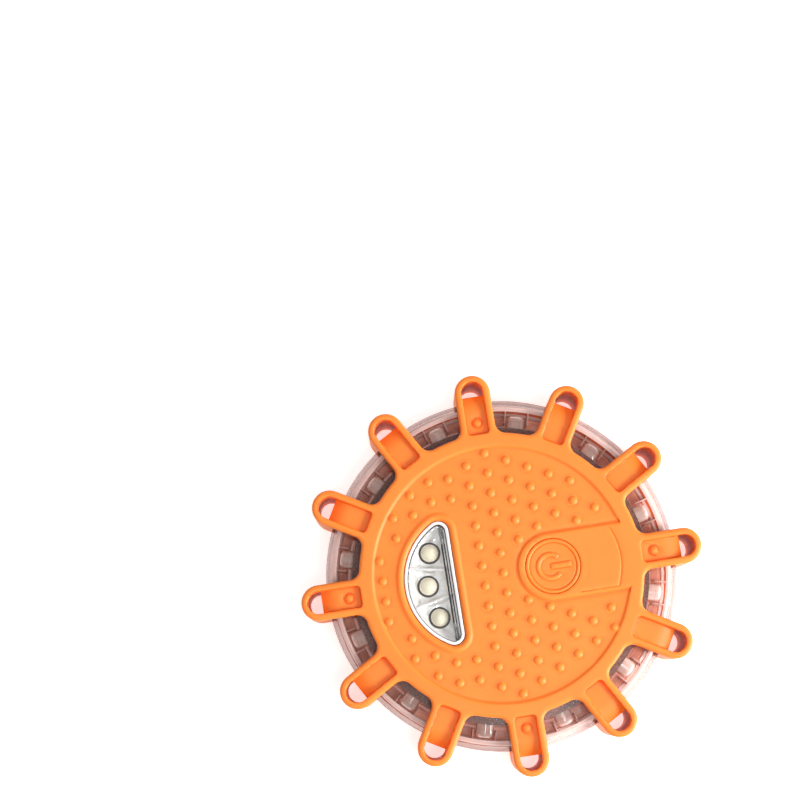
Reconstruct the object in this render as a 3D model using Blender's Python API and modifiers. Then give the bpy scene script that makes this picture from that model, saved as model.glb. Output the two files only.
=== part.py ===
"""LED safety flare: a round roadside warning light with a finger-ringed rubber bumper.

Units are metres, +Z is up, and the origin is the centre of the face it rests on.
+X runs from the torch window to the power button.
"""

import math

import bmesh
import bpy
from mathutils import Matrix, Vector

MM = 0.001

# Overall size.
HEIGHT = 24.0 * MM
TIP_RADIUS = 55.0 * MM
GAP = 0.3 * MM

# Bumper: two rubber shells that meet at the seam.
FINGER_COUNT = 12
FINGER_WIDTH = 9.7 * MM
FINGER_STEP = 2 * math.pi / FINGER_COUNT
FINGER_DRAFT = 0.06 * MM
RIM_RADIUS = 38.7 * MM
ROOT_FILLET = 2.8 * MM
SEAM_Z = 9.2 * MM
SLOT_WIDTH = 6.0 * MM
SLOT_INNER = 38.6 * MM
SLOT_OUTER = 53.4 * MM
SLOT_CORNER = 1.0 * MM
SLOT_DEPTH = 1.6 * MM
SLOT_LEDGE = 0.15 * MM
TIP_STEPS = 8
ROOT_STEPS = 3
SADDLE_START = 45.0 * MM
SADDLE_DROP = 1.6 * MM
HOLE_INNER = 49.5 * MM
STUD_RADIUS = 41.9 * MM
STUD_WIDTH = 2.3 * MM
STUD_HEIGHT = 0.7 * MM
DISC_RADIUS = 35.4 * MM
DISC_DEPTH = 0.5 * MM
BOTTOM_OPENING = 34.0 * MM

# Clear case.
CASE_RADIUS = 47.8 * MM
CASE_TOP = 21.2 * MM
CASE_BOTTOM = 3.4 * MM
CASE_WALL = 1.5 * MM
CASE_FLANGE = 3.2 * MM
CASE_FILLET = 1.8 * MM
FLANGE_HEIGHT = 1.9 * MM
CASE_STEPS = 48
SEAL_RADIUS = 46.2 * MM
SEAL_SIZE = 1.0 * MM
SEAL_GROOVE_DEPTH = 1.1 * MM
SEAL_SPACE = 0.1 * MM
BUTTON_HOLE_RADIUS = 4.2 * MM

# Torch window, a half moon: a circle cut by a straight side, with rounded corners.
MOON_CENTRE_X = -7.6 * MM
MOON_RADIUS = 19.0 * MM
MOON_SIDE_X = -12.3 * MM
MOON_CORNER = 3.0 * MM
COLLAR_WIDTH = 2.3 * MM
LENS_TOP = 23.5 * MM
REFLECTOR_INSET = 1.5 * MM
REFLECTOR_BOTTOM = 17.6 * MM
TORCH_LED_PLACES = ((-18.4 * MM, 8.9 * MM), (-20.15 * MM, 0.0), (-18.4 * MM, -8.9 * MM))
TORCH_CUP_RADIUS = 3.0 * MM
TORCH_CUP_FLARE = 0.4 * MM
TORCH_LED_HEIGHT = 4.2 * MM

# Power button on its tongue.
BUTTON_X = 14.1 * MM
BUTTON_RADIUS = 7.5 * MM
BUTTON_FLANGE = 8.4 * MM
BUTTON_TRAVEL = 0.6 * MM
BUTTON_TOP = 23.9 * MM
BUTTON_EDGE = 0.5 * MM
BUTTON_POST_RADIUS = 1.8 * MM
SEAT_TOP = CASE_TOP + 1.6 * MM
TONGUE_HALF_WIDTH = 9.45 * MM
PLUNGER_TOP = 21.0 * MM
PLUNGER_GAP = 0.33 * MM
PLUNGER_RADIUS = 1.7 * MM
PLUNGER_BOTTOM = 18.3 * MM
SWITCH_HALF = 3.0 * MM
SWITCH_TOP = 19.4 * MM
SWITCH_WELL_BOTTOM = 17.5 * MM

# Circuit board and what it carries.
PCB_RADIUS = 40.8 * MM
PCB_BOTTOM = 15.5 * MM
PCB_THICKNESS = 1.0 * MM
PCB_TOP = PCB_BOTTOM + PCB_THICKNESS
CHIP_SIZE = (6.0 * MM, 4.0 * MM, 1.5 * MM)
CHIP_Y = 14.0 * MM
CAPACITOR_PLACE = (-2.0 * MM, -16.0 * MM)
CAPACITOR_SIZE = (2.0 * MM, 2.4 * MM)
LED_RADIUS = 2.5 * MM
LED_FLANGE = 0.4 * MM
LED_LEAD_WIDTH = 0.5 * MM
LED_LEAD_Y = 1.27 * MM
LED_TIP = 44.4 * MM
LED_LENGTH = 8.6 * MM
LED_Z = 12.3 * MM

# Battery compartment.
CELL_RADIUS = 5.2 * MM
CELL_LENGTH = 44.5 * MM
CELL_PITCH = 10.8 * MM
CELL_Z = 8.9 * MM
CELL_NUB = (1.9 * MM, 1.0 * MM)
CELL_EDGE = 0.4 * MM
WELL_HALF = (25.3 * MM, 16.5 * MM)
WELL_WALL = 1.2 * MM
WELL_TOP = 15.2 * MM
WELL_ROOF = 1.0 * MM
CONTACT_THICKNESS = 0.4 * MM
CONTACT_HALF = 4.4 * MM
SPRING_TURNS = 2.5
SPRING_WIRE = 0.3 * MM
SPRING_RADII = (2.0 * MM, 3.6 * MM)
WIRE_RADIUS = 0.5 * MM
WIRE_Y = 14.0 * MM
WIRE_BULGE = 1.6 * MM
WIRE_BOTTOM = 6.0 * MM

# Battery cover, magnet and hook.
COVER_RADIUS = 33.5 * MM
COVER_BOTTOM = 0.5 * MM
COVER_TOP = 3.1 * MM
MAGNET_RADIUS = 9.0 * MM
MAGNET_THICKNESS = 1.2 * MM
GASKET_HALF = 0.7 * MM
GASKET_OFFSET = 1.6 * MM
GASKET_CORNER = 3.0 * MM
HOOK_WIRE = 0.8 * MM
HOOK_RADIUS = 12.0 * MM
HOOK_PIVOT_Y = -11.0 * MM
HOOK_Z = 1.6 * MM
HOOK_TRUNNION = 3.0 * MM
HOOK_BEND = 1.2 * MM
HOOK_GROOVE_HALF = HOOK_WIRE + 0.4 * MM
HOOK_GROOVE_TAIL = 4.5 * MM
SNAP_HALF = 0.7 * MM
NOTCH_SIZE = (10.0 * MM, 3.2 * MM)

# Screws, and the bosses and holes they go into, each as a radius and where its end is.
COVER_SCREW_PLACES = [(x * 19.0 * MM, y * 23.5 * MM) for x in (-1, 1) for y in (-1, 1)]
CASE_SCREW_RADIUS = 35.8 * MM
CASE_SCREW_ANGLES = [math.radians(a) for a in (30, 120, 210, 300)]
CASE_SCREW_PLACES = [
    (CASE_SCREW_RADIUS * math.cos(a), CASE_SCREW_RADIUS * math.sin(a)) for a in CASE_SCREW_ANGLES
]
TOP_BOSS = (2.7 * MM, 12.3 * MM)
TOP_PILOT = (1.5 * MM, 18.8 * MM)
BASE_BOSS = (3.0 * MM, 12.0 * MM)
BASE_HEAD_HOLE = (2.4 * MM, 5.4 * MM)
BASE_BORE_RADIUS = 1.5 * MM
COVER_POST = (2.6 * MM, 10.5 * MM)
COVER_PILOT = (1.3 * MM, 9.7 * MM)
COVER_HEAD_HOLE = (2.5 * MM, 2.3 * MM)
SCREW_HEAD = 1.4 * MM
SCREW_EDGE = 0.4 * MM
SCREW_POINT = 1.0 * MM
BOSS_SIDES = 12
ROOT_OVERLAP = 0.5 * MM

# Above the top face or below the bottom face, where cutters end.
CLEAR = 2.0 * MM

COLOURS = {
    "rubber": ((1.0, 0.27, 0.045, 1), 0.45, 0.0),
    "clear": ((0.95, 0.93, 0.92, 1), 0.05, 0.0),
    "chrome": ((0.85, 0.86, 0.88, 1), 0.12, 1.0),
    "seal": ((0.9, 0.2, 0.05, 1), 0.5, 0.0),
    "board": ((0.02, 0.05, 0.03, 1), 0.4, 0.0),
    "red_led": ((0.5, 0.03, 0.02, 1), 0.08, 0.0),
    "white_led": ((0.95, 0.93, 0.8, 1), 0.1, 0.0),
    "black_plastic": ((0.02, 0.02, 0.02, 1), 0.4, 0.0),
    "steel": ((0.6, 0.6, 0.6, 1), 0.3, 1.0),
    "cell": ((0.12, 0.13, 0.14, 1), 0.35, 0.3),
    "red_wire": ((0.6, 0.02, 0.02, 1), 0.5, 0.0),
    "black_wire": ((0.02, 0.02, 0.02, 1), 0.5, 0.0),
}


def collection(name):
    made = bpy.data.collections.new(name)
    bpy.context.scene.collection.children.link(made)
    return made


def material(name):
    found = bpy.data.materials.get(name)
    if found:
        return found
    colour, roughness, metallic = COLOURS[name]
    made = bpy.data.materials.new(name)
    made.use_nodes = True
    shader = made.node_tree.nodes["Principled BSDF"]
    shader.inputs["Base Color"].default_value = colour
    shader.inputs["Roughness"].default_value = roughness
    shader.inputs["Metallic"].default_value = metallic
    made.diffuse_color = colour
    return made


def part(name, mesh, look, matrix=None):
    """A named piece of the flare, shaded smooth away from its sharp edges."""
    made = bpy.data.objects.new(name, mesh)
    mesh.materials.clear()
    mesh.materials.append(material(look))
    mesh.shade_smooth()
    mesh.set_sharp_from_angle(angle=math.radians(35))
    if matrix:
        made.matrix_world = matrix
    PARTS.objects.link(made)
    return made


def helper(name, mesh):
    """A cutter, or a shape that is joined to a piece. It isn't a piece itself."""
    made = bpy.data.objects.new(name, mesh)
    made.hide_render = True
    made.display_type = "WIRE"
    HELPERS.objects.link(made)
    return made


def boolean(target, operation, mesh, name):
    modifier = target.modifiers.new(name, "BOOLEAN")
    modifier.operation = operation
    modifier.solver = "EXACT"
    modifier.object = helper(f"{target.name}_{name}", mesh)


def cut(target, mesh, name):
    boolean(target, "DIFFERENCE", mesh, name)


def join(target, mesh, name):
    boolean(target, "UNION", mesh, name)


def mesh_from(build):
    """A mesh filled in by a function that works on a bmesh."""
    work = bmesh.new()
    build(work)
    mesh = bpy.data.meshes.new("shape")
    work.to_mesh(mesh)
    work.free()
    return mesh


def box(low, high):
    low, high = Vector(low), Vector(high)

    def build(work):
        bmesh.ops.create_cube(work, size=1)
        size = high - low
        bmesh.ops.scale(work, vec=size, verts=work.verts)
        bmesh.ops.translate(work, vec=(low + high) / 2, verts=work.verts)

    return mesh_from(build)


def cylinder(radius, bottom, top, at=(0, 0), sides=32, top_radius=None):
    upper = radius if top_radius is None else top_radius

    def build(work):
        bmesh.ops.create_cone(
            work, cap_ends=True, segments=sides, radius1=radius, radius2=upper, depth=top - bottom
        )
        bmesh.ops.translate(work, vec=(at[0], at[1], (bottom + top) / 2), verts=work.verts)

    return mesh_from(build)


def evaluated_mesh(made):
    """The object's mesh with its modifiers and its curve turned into faces, and its caps welded."""
    graph = bpy.context.evaluated_depsgraph_get()
    mesh = bpy.data.meshes.new_from_object(made.evaluated_get(graph))
    work = bmesh.new()
    work.from_mesh(mesh)
    bmesh.ops.remove_doubles(work, verts=work.verts, dist=1e-7)
    bmesh.ops.recalc_face_normals(work, faces=work.faces)
    work.to_mesh(mesh)
    work.free()
    bpy.data.objects.remove(made)
    return mesh


def merged(meshes):
    """One closed mesh from several that overlap."""
    made = bpy.data.objects.new("merged", meshes[0])
    HELPERS.objects.link(made)
    for mesh in meshes[1:]:
        join(made, mesh, "more")
    bpy.context.view_layer.update()
    return evaluated_mesh(made)


def plate(outlines, bottom, top):
    """A flat plate between two heights, with the first outline outside and the rest as holes."""
    curve = bpy.data.curves.new("outline", "CURVE")
    curve.dimensions = "2D"
    curve.fill_mode = "BOTH"
    curve.extrude = (top - bottom) / 2
    for outline in outlines:
        spline = curve.splines.new("POLY")
        spline.points.add(len(outline) - 1)
        for point, (x, y) in zip(spline.points, outline):
            point.co = (x, y, 0, 1)
        spline.use_cyclic_u = True
    made = bpy.data.objects.new("outline", curve)
    HELPERS.objects.link(made)
    bpy.context.view_layer.update()
    mesh = evaluated_mesh(made)
    mesh.transform(Matrix.Translation((0, 0, (bottom + top) / 2)))
    return mesh


def turned(profile, steps=72, merge=True):
    """A profile of (radius, height) points, outer side top to bottom, turned about Z."""
    mesh = bpy.data.meshes.new("profile")
    count = len(profile)
    edges = [(i, i + 1) for i in range(count - 1)]
    if not merge:
        edges.append((count - 1, 0))
    mesh.from_pydata([(r, 0, z) for r, z in profile], edges, [])
    made = bpy.data.objects.new("turned", mesh)
    HELPERS.objects.link(made)
    screw = made.modifiers.new("Screw", "SCREW")
    screw.steps = steps
    screw.render_steps = steps
    screw.use_merge_vertices = True
    screw.merge_threshold = 1e-6
    bpy.context.view_layer.update()
    return evaluated_mesh(made)


def tube(points, radius, resolution=2):
    curve = bpy.data.curves.new("route", "CURVE")
    curve.dimensions = "3D"
    curve.bevel_depth = radius
    curve.bevel_resolution = resolution
    curve.use_fill_caps = True
    spline = curve.splines.new("POLY")
    spline.points.add(len(points) - 1)
    for point, place in zip(spline.points, points):
        point.co = (*place, 1)
    made = bpy.data.objects.new("route", curve)
    HELPERS.objects.link(made)
    bpy.context.view_layer.update()
    return evaluated_mesh(made)


def copies(mesh, matrices):
    """One mesh that holds a copy of the given one at each matrix."""

    def build(work):
        for matrix in matrices:
            start = len(work.verts)
            work.from_mesh(mesh)
            work.verts.ensure_lookup_table()
            bmesh.ops.transform(work, matrix=matrix, verts=work.verts[start:])

    return mesh_from(build)


def gathered(meshes):
    """One mesh from several that don't touch."""

    def build(work):
        for mesh in meshes:
            work.from_mesh(mesh)

    return mesh_from(build)


def turns(angles):
    return [Matrix.Rotation(angle, 4, "Z") for angle in angles]


def finger_turns():
    return turns(i * FINGER_STEP for i in range(FINGER_COUNT))


def bay_turns():
    return turns((i + 0.5) * FINGER_STEP for i in range(FINGER_COUNT))


def arc(centre, radius, start, end, steps):
    """Points on an arc from one angle to another, both ends included."""
    found = []
    for i in range(steps + 1):
        angle = start + (end - start) * i / steps
        found.append((centre[0] + radius * math.cos(angle), centre[1] + radius * math.sin(angle)))
    return found


def rotated(points, angle):
    c, s = math.cos(angle), math.sin(angle)
    return [(c * x - s * y, s * x + c * y) for x, y in points]


def bumper_outline():
    """The rim with its fingers: round tips, straight sides and a fillet at each root."""
    half = FINGER_WIDTH / 2
    fillet_y = half + FINGER_DRAFT + ROOT_FILLET
    fillet_x = math.sqrt((RIM_RADIUS + ROOT_FILLET) ** 2 - fillet_y**2)
    root_angle = math.atan2(fillet_y, fillet_x)
    quarter = math.pi / 2
    found = []
    for i in range(FINGER_COUNT):
        finger = arc((TIP_RADIUS - half, 0), half, -quarter, quarter, TIP_STEPS)
        fillet = arc((fillet_x, fillet_y), ROOT_FILLET, -quarter, -math.pi + root_angle, ROOT_STEPS)
        rim = arc((0, 0), RIM_RADIUS, root_angle, FINGER_STEP - root_angle, 2)[1:-1]
        before = [(x, -y) for x, y in reversed(fillet)]
        found += rotated(before + finger + fillet + rim, i * FINGER_STEP)
    return found


def slot_outline(inner, shrink=0.0):
    """A slot in a finger: square inner end with small corners, round outer end."""
    half = SLOT_WIDTH / 2 - shrink
    corner = SLOT_CORNER
    quarter = math.pi / 2
    outer_x = SLOT_OUTER - SLOT_WIDTH / 2
    found = arc((outer_x, 0), half, -quarter, quarter, 6)
    if inner == SLOT_INNER:
        found += arc((inner + corner, half - corner), corner, quarter, math.pi, 2)
        found += arc((inner + corner, corner - half), corner, math.pi, 3 * quarter, 2)
    else:
        found += [(inner, half), (inner, -half)]
    return found


def saddle_cutter():
    """Where a slot's floor follows the shoulder of the case down to the through hole."""
    floor = HEIGHT - SLOT_DEPTH
    steps = 3
    half = SLOT_WIDTH / 2 - SLOT_LEDGE / 2
    length = HOLE_INNER + GAP - SADDLE_START
    low = [
        (SADDLE_START + length * i / steps, floor - SADDLE_DROP * (i / steps) ** 2)
        for i in range(steps + 1)
    ]
    outline = low + [(low[-1][0], HEIGHT + GAP), (SADDLE_START, HEIGHT + GAP)]
    mesh = plate([outline], -half, half)
    mesh.transform(Matrix.Rotation(math.pi / 2, 4, "X"))
    return mesh


def moon_outline(offset):
    """The torch window's outline, grown by an offset."""
    radius = MOON_RADIUS + offset
    corner = max(MOON_CORNER + offset, 0.8 * MM)
    side = MOON_SIDE_X + offset
    corner_x = side - corner
    corner_y = math.sqrt((radius - corner) ** 2 - (corner_x - MOON_CENTRE_X) ** 2)
    bend = math.atan2(corner_y, corner_x - MOON_CENTRE_X)
    found = arc((corner_x, corner_y), corner, 0, bend, 7)
    found += arc((MOON_CENTRE_X, 0), radius, bend, 2 * math.pi - bend, 22)[1:-1]
    found += arc((corner_x, -corner_y), corner, 2 * math.pi - bend, 2 * math.pi, 7)
    return found


def disc_outline():
    """The sunken disc, open where the button's tongue reaches its edge."""
    meet = math.asin(TONGUE_HALF_WIDTH / DISC_RADIUS)
    end_x = BUTTON_X - 0.3 * MM
    quarter = math.pi / 2
    found = arc((0, 0), DISC_RADIUS, meet, 2 * math.pi - meet, 48)
    found += arc((end_x, 0), TONGUE_HALF_WIDTH, 3 * quarter, quarter, 12)
    return found


def case_profile(grow, bottom, top):
    """The outside of the case as (radius, height) points, with rounded shoulders."""
    radius = CASE_RADIUS + grow
    fillet = CASE_FILLET + grow
    quarter = math.pi / 2
    found = [(0, top)]
    found += arc((radius - fillet, top - fillet), fillet, quarter, 0, 2)
    found += arc((radius - fillet, bottom + fillet), fillet, 0, -quarter, 2)
    found.append((0, bottom))
    return found


def bumper(name, outline_mesh):
    made = part(name, outline_mesh, "rubber")
    space = turned(case_profile(GAP, CASE_BOTTOM - GAP, CASE_TOP + GAP), CASE_STEPS)
    cut(made, space, "case_space")
    return made


def slot_cutter(floor, end, extra=()):
    """A slot from its floor out to one side, with the through hole at its outer end."""
    slot = plate([slot_outline(SLOT_INNER)], min(floor, end), max(floor, end))
    hole = plate([slot_outline(HOLE_INNER, SLOT_LEDGE)], -CLEAR * 2, HEIGHT + CLEAR * 2)
    return copies(merged([slot, hole, *extra]), finger_turns())


def top_bumper():
    low = SEAM_Z + GAP / 2
    made = bumper("top_bumper", plate([bumper_outline()], low, HEIGHT))
    floor = HEIGHT - SLOT_DEPTH
    above = HEIGHT + CLEAR
    cut(made, slot_cutter(floor, above, [saddle_cutter()]), "slots")
    stud = cylinder(STUD_WIDTH / 2, floor - GAP, floor + STUD_HEIGHT, (STUD_RADIUS, 0), 16,
                    STUD_WIDTH / 3)
    join(made, copies(stud, turns(i * math.pi / 2 for i in range(4))), "studs")
    at = (BUTTON_X, 0)
    hole = cylinder(BUTTON_RADIUS + GAP, CASE_TOP, above, at, 48)
    seat = cylinder(BUTTON_FLANGE + GAP, CASE_TOP - GAP, SEAT_TOP, at, 48)
    window = plate([moon_outline(GAP / 2)], CASE_TOP - GAP, above)
    disc = plate([disc_outline(), moon_outline(COLLAR_WIDTH)], HEIGHT - DISC_DEPTH, above)
    cut(made, gathered([merged([hole, seat]), window, disc]), "top_face")


def bottom_bumper():
    high = SEAM_Z - GAP / 2
    opening = arc((0, 0), BOTTOM_OPENING, 0, 2 * math.pi, 60)[:-1]
    made = bumper("bottom_bumper", plate([bumper_outline(), opening], 0, high))
    cut(made, slot_cutter(SLOT_DEPTH, -CLEAR), "slots")


def top_case():
    """The clear upper half, with its screw bosses."""
    low = SEAM_Z + GAP / 2
    inner = CASE_RADIUS - CASE_WALL
    flange = CASE_RADIUS - CASE_FLANGE
    step = CASE_FLANGE - CASE_WALL
    bend_z = CASE_TOP - CASE_FILLET
    shell = [(0, CASE_TOP)]
    shell += arc((CASE_RADIUS - CASE_FILLET, bend_z), CASE_FILLET, math.pi / 2, 0, 3)
    shell += [(CASE_RADIUS, low), (flange, low), (flange, low + FLANGE_HEIGHT)]
    shell += [(inner, low + FLANGE_HEIGHT + step)]
    shell += arc((CASE_RADIUS - CASE_FILLET, bend_z), CASE_FILLET - CASE_WALL, 0, math.pi / 2, 2)
    shell.append((0, CASE_TOP - CASE_WALL))
    made = part("top_case", turned(shell, CASE_STEPS), "clear")
    cut(made, plate([moon_outline(GAP - REFLECTOR_INSET)], CASE_TOP - CLEAR, HEIGHT), "window")
    button_hole = cylinder(BUTTON_HOLE_RADIUS, CASE_TOP - CLEAR, HEIGHT, (BUTTON_X, 0))
    cut(made, button_hole, "button_hole")
    roof = CASE_TOP - CASE_WALL / 2
    for i, place in enumerate(CASE_SCREW_PLACES, 1):
        join(made, cylinder(TOP_BOSS[0], TOP_BOSS[1], roof, place, BOSS_SIDES), f"boss_{i}")
        pilot = cylinder(TOP_PILOT[0], TOP_BOSS[1] - CLEAR, TOP_PILOT[1], place, BOSS_SIDES)
        cut(made, pilot, f"pilot_{i}")


def base_shell():
    """The dish of the lower half as (radius, height) points, with the seal's groove in its rim."""
    high = SEAM_Z - GAP / 2
    flange = CASE_RADIUS - CASE_FLANGE
    inner = CASE_RADIUS - CASE_WALL
    half_groove = SEAL_SIZE / 2 + SEAL_SPACE
    groove_in, groove_out = SEAL_RADIUS - half_groove, SEAL_RADIUS + half_groove
    groove_z = high - SEAL_GROOVE_DEPTH
    floor = CASE_BOTTOM + CASE_WALL
    cove = 1.0 * MM
    found = [(0, floor), (inner - CASE_WALL, floor), (inner, floor + cove)]
    found += [(inner, high - FLANGE_HEIGHT - cove), (flange, high - FLANGE_HEIGHT), (flange, high)]
    found += [(groove_in, high), (groove_in, groove_z), (groove_out, groove_z)]
    found += [(groove_out, high), (CASE_RADIUS, high)]
    bend = (CASE_RADIUS - CASE_FILLET, CASE_BOTTOM + CASE_FILLET)
    found += arc(bend, CASE_FILLET, 0, -math.pi / 2, 3)
    found.append((0, CASE_BOTTOM))
    return found


def base_case():
    """The clear lower half: a dish with the battery well and the screw bosses standing in it."""
    made = part("base_case", turned(base_shell(), CASE_STEPS), "clear")
    half_x, half_y = WELL_HALF
    wall = WELL_WALL
    root = CASE_BOTTOM + ROOT_OVERLAP
    well = box((-half_x - wall, -half_y - wall, root), (half_x + wall, half_y + wall, WELL_TOP))
    join(made, well, "well")
    inside = box((-half_x, -half_y, -CLEAR), (half_x, half_y, WELL_TOP - WELL_ROOF))
    cut(made, inside, "well_inside")
    for i, place in enumerate(CASE_SCREW_PLACES, 1):
        join(made, cylinder(BASE_BOSS[0], root, BASE_BOSS[1], place, BOSS_SIDES), f"boss_{i}")
        cut(made, cylinder(BASE_HEAD_HOLE[0], 0, BASE_HEAD_HOLE[1], place, BOSS_SIDES), f"head_{i}")
        cut(made, cylinder(BASE_BORE_RADIUS, 0, HEIGHT, place, BOSS_SIDES), f"bore_{i}")
    for i, place in enumerate(COVER_SCREW_PLACES, 1):
        join(made, cylinder(COVER_POST[0], root, COVER_POST[1], place, BOSS_SIDES), f"post_{i}")
        cut(made, cylinder(COVER_PILOT[0], 0, COVER_PILOT[1], place, 10), f"pilot_{i}")


def case_seal():
    half = SEAL_SIZE / 2
    middle = SEAM_Z - GAP / 2 - 0.45 * MM
    ring = [(SEAL_RADIUS + half, middle + half), (SEAL_RADIUS + half, middle - half)]
    ring += [(SEAL_RADIUS - half, middle - half), (SEAL_RADIUS - half, middle + half)]
    part("case_seal", turned(ring, CASE_STEPS, merge=False), "seal")


def main_pcb():
    """The round board, with a hole round each screw boss."""
    made = part("main_pcb", cylinder(PCB_RADIUS, PCB_BOTTOM, PCB_TOP, sides=60), "board")
    for i, place in enumerate(CASE_SCREW_PLACES, 1):
        cut(made, cylinder(TOP_BOSS[0] + GAP, 0, HEIGHT, place, 16), f"boss_hole_{i}")


def led_profile(length, flange_top, dome_steps=3):
    """An LED on end: the dome at the top, the flange round its foot."""
    flange = LED_RADIUS + LED_FLANGE
    found = arc((0, length - LED_RADIUS), LED_RADIUS, math.pi / 2, 0, dome_steps)
    found += [(LED_RADIUS, flange_top), (flange, flange_top), (flange, 0), (0, 0)]
    return found


def side_leds():
    """A ring of LEDs under the edge of the board, one in each bay, pointing outwards."""
    body = turned(led_profile(LED_LENGTH, 1.0 * MM), 14)
    foot = LED_TIP - LED_LENGTH
    body.transform(Matrix.Translation((foot, 0, LED_Z)) @ Matrix.Rotation(math.pi / 2, 4, "Y"))
    shape = bpy.data.objects.new("led_shape", body)
    HELPERS.objects.link(shape)
    half = LED_LEAD_WIDTH / 2
    lead_top = PCB_BOTTOM - GAP
    bend = foot - 1.6 * MM
    for i, y in enumerate((-LED_LEAD_Y, LED_LEAD_Y), 1):
        low = Vector((bend, y - half, LED_Z - half))
        join(shape, box(low, (foot + ROOT_OVERLAP, y + half, LED_Z + half)), f"lead_{i}")
        join(shape, box(low, (bend + LED_LEAD_WIDTH, y + half, lead_top)), f"riser_{i}")
    bpy.context.view_layer.update()
    mesh = evaluated_mesh(shape)
    for i, turn in enumerate(bay_turns(), 1):
        part(f"side_led_{i:02d}", mesh, "red_led", turn)


def torch():
    """The window, the reflector under it with a cup for each LED, and the three LEDs."""
    part("torch_lens", plate([moon_outline(-GAP / 2)], CASE_TOP + GAP, LENS_TOP), "clear")
    block = plate([moon_outline(-REFLECTOR_INSET)], REFLECTOR_BOTTOM, CASE_TOP)
    made = part("torch_reflector", block, "chrome")
    led = turned(led_profile(TORCH_LED_HEIGHT, 0.6 * MM), 16)
    radius = TORCH_CUP_RADIUS
    flare_depth = 1.5 * MM
    above = 0.1 * MM
    for i, place in enumerate(TORCH_LED_PLACES, 1):
        cut(made, cylinder(radius, 0, HEIGHT, place, 24), f"cup_{i}")
        flare = cylinder(radius, CASE_TOP - flare_depth, CASE_TOP + above, place, 24,
                         radius + TORCH_CUP_FLARE)
        cut(made, flare, f"flare_{i}")
        part(f"torch_led_{i}", led, "white_led", Matrix.Translation((*place, PCB_TOP + GAP)))


def power_button():
    """A cap with a flange under the rubber skin and a post that reaches for the switch."""
    flange_top = SEAT_TOP - GAP
    low = CASE_TOP + BUTTON_TRAVEL + 0.2 * MM
    post = PLUNGER_TOP + PLUNGER_GAP
    cap = [(0, BUTTON_TOP), (BUTTON_RADIUS - BUTTON_EDGE, BUTTON_TOP)]
    cap += [(BUTTON_RADIUS, BUTTON_TOP - BUTTON_EDGE), (BUTTON_RADIUS, flange_top)]
    cap += [(BUTTON_FLANGE, flange_top), (BUTTON_FLANGE, low)]
    cap += [(BUTTON_POST_RADIUS, low), (BUTTON_POST_RADIUS, post), (0, post)]
    part("power_button", turned(cap, 48), "rubber", Matrix.Translation((BUTTON_X, 0, 0)))


def switch():
    """The push switch under the button, and the two larger parts beside it on the board."""
    low = PCB_TOP + GAP
    half = SWITCH_HALF
    block = box((BUTTON_X - half, -half, low), (BUTTON_X + half, half, SWITCH_TOP))
    body = part("switch_body", block, "black_plastic")
    well = cylinder(PLUNGER_RADIUS + GAP, SWITCH_WELL_BOTTOM, HEIGHT, (BUTTON_X, 0), 20)
    cut(body, well, "plunger_well")
    plunger = cylinder(PLUNGER_RADIUS, PLUNGER_BOTTOM, PLUNGER_TOP, sides=20)
    part("switch_plunger", plunger, "black_plastic", Matrix.Translation((BUTTON_X, 0, 0)))
    length, width, height = CHIP_SIZE
    chip = box((-length / 2, CHIP_Y - width / 2, low), (length / 2, CHIP_Y + width / 2, low + height))
    part("driver_chip", chip, "black_plastic")
    radius, height = CAPACITOR_SIZE
    part("capacitor", cylinder(radius, low, low + height, CAPACITOR_PLACE, 20), "steel")


def cell_matrix(row, flip):
    turn = Matrix.Rotation(math.pi / 2 if flip else -math.pi / 2, 4, "Y")
    return Matrix.Translation((0, row * CELL_PITCH, CELL_Z)) @ turn


def cells():
    """Three cells side by side, the middle one the other way round."""
    half = CELL_LENGTH / 2
    nub, rise = CELL_NUB
    shoulder = half - rise
    edge = CELL_EDGE
    profile = [(0, half), (nub, half), (nub, shoulder), (CELL_RADIUS - edge, shoulder)]
    profile += [(CELL_RADIUS, shoulder - edge), (CELL_RADIUS, -half + edge)]
    profile += [(CELL_RADIUS - edge, -half), (0, -half)]
    mesh = turned(profile, 32)
    for i, row in enumerate((-1, 0, 1), 1):
        part(f"cell_{i}", mesh, "cell", cell_matrix(row, row == 0))


def contact_plates():
    """Plates at the ends of the well: one for each end of the chain, and two that link cells."""
    plate_x = WELL_HALF[0] - GAP
    spans = {
        "contact_positive": (1, -1, -1),
        "contact_bridge_1": (-1, -1, 0),
        "contact_bridge_2": (1, 0, 1),
        "contact_negative": (-1, 1, 1),
    }
    for name, (side, first, last) in spans.items():
        ends = sorted((side * (plate_x - CONTACT_THICKNESS), side * plate_x))
        low = (ends[0], first * CELL_PITCH - CONTACT_HALF, CELL_Z - CONTACT_HALF)
        high = (ends[1], last * CELL_PITCH + CONTACT_HALF, CELL_Z + CONTACT_HALF)
        part(name, box(low, high), "steel")


def cell_springs():
    """A cone spring between each cell's flat end and its plate."""
    foot = CELL_LENGTH / 2 + GAP
    reach = WELL_HALF[0] - GAP - CONTACT_THICKNESS - GAP - foot
    per_turn = 9
    total = int(SPRING_TURNS * per_turn)
    points = []
    for i in range(total + 1):
        share = i / total
        radius = SPRING_RADII[0] + (SPRING_RADII[1] - SPRING_RADII[0]) * share
        angle = 2 * math.pi * i / per_turn
        height = SPRING_WIRE + (reach - 2 * SPRING_WIRE) * share
        points.append((radius * math.cos(angle), radius * math.sin(angle), height))
    coil = tube(points, SPRING_WIRE, 1)
    for i, row in enumerate((-1, 0, 1), 1):
        side = 1 if row == 0 else -1
        turn = Matrix.Rotation(side * math.pi / 2, 4, "Y")
        start = Matrix.Translation((side * foot, row * CELL_PITCH, CELL_Z))
        part(f"cell_spring_{i}", coil, "steel", start @ turn)


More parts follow.
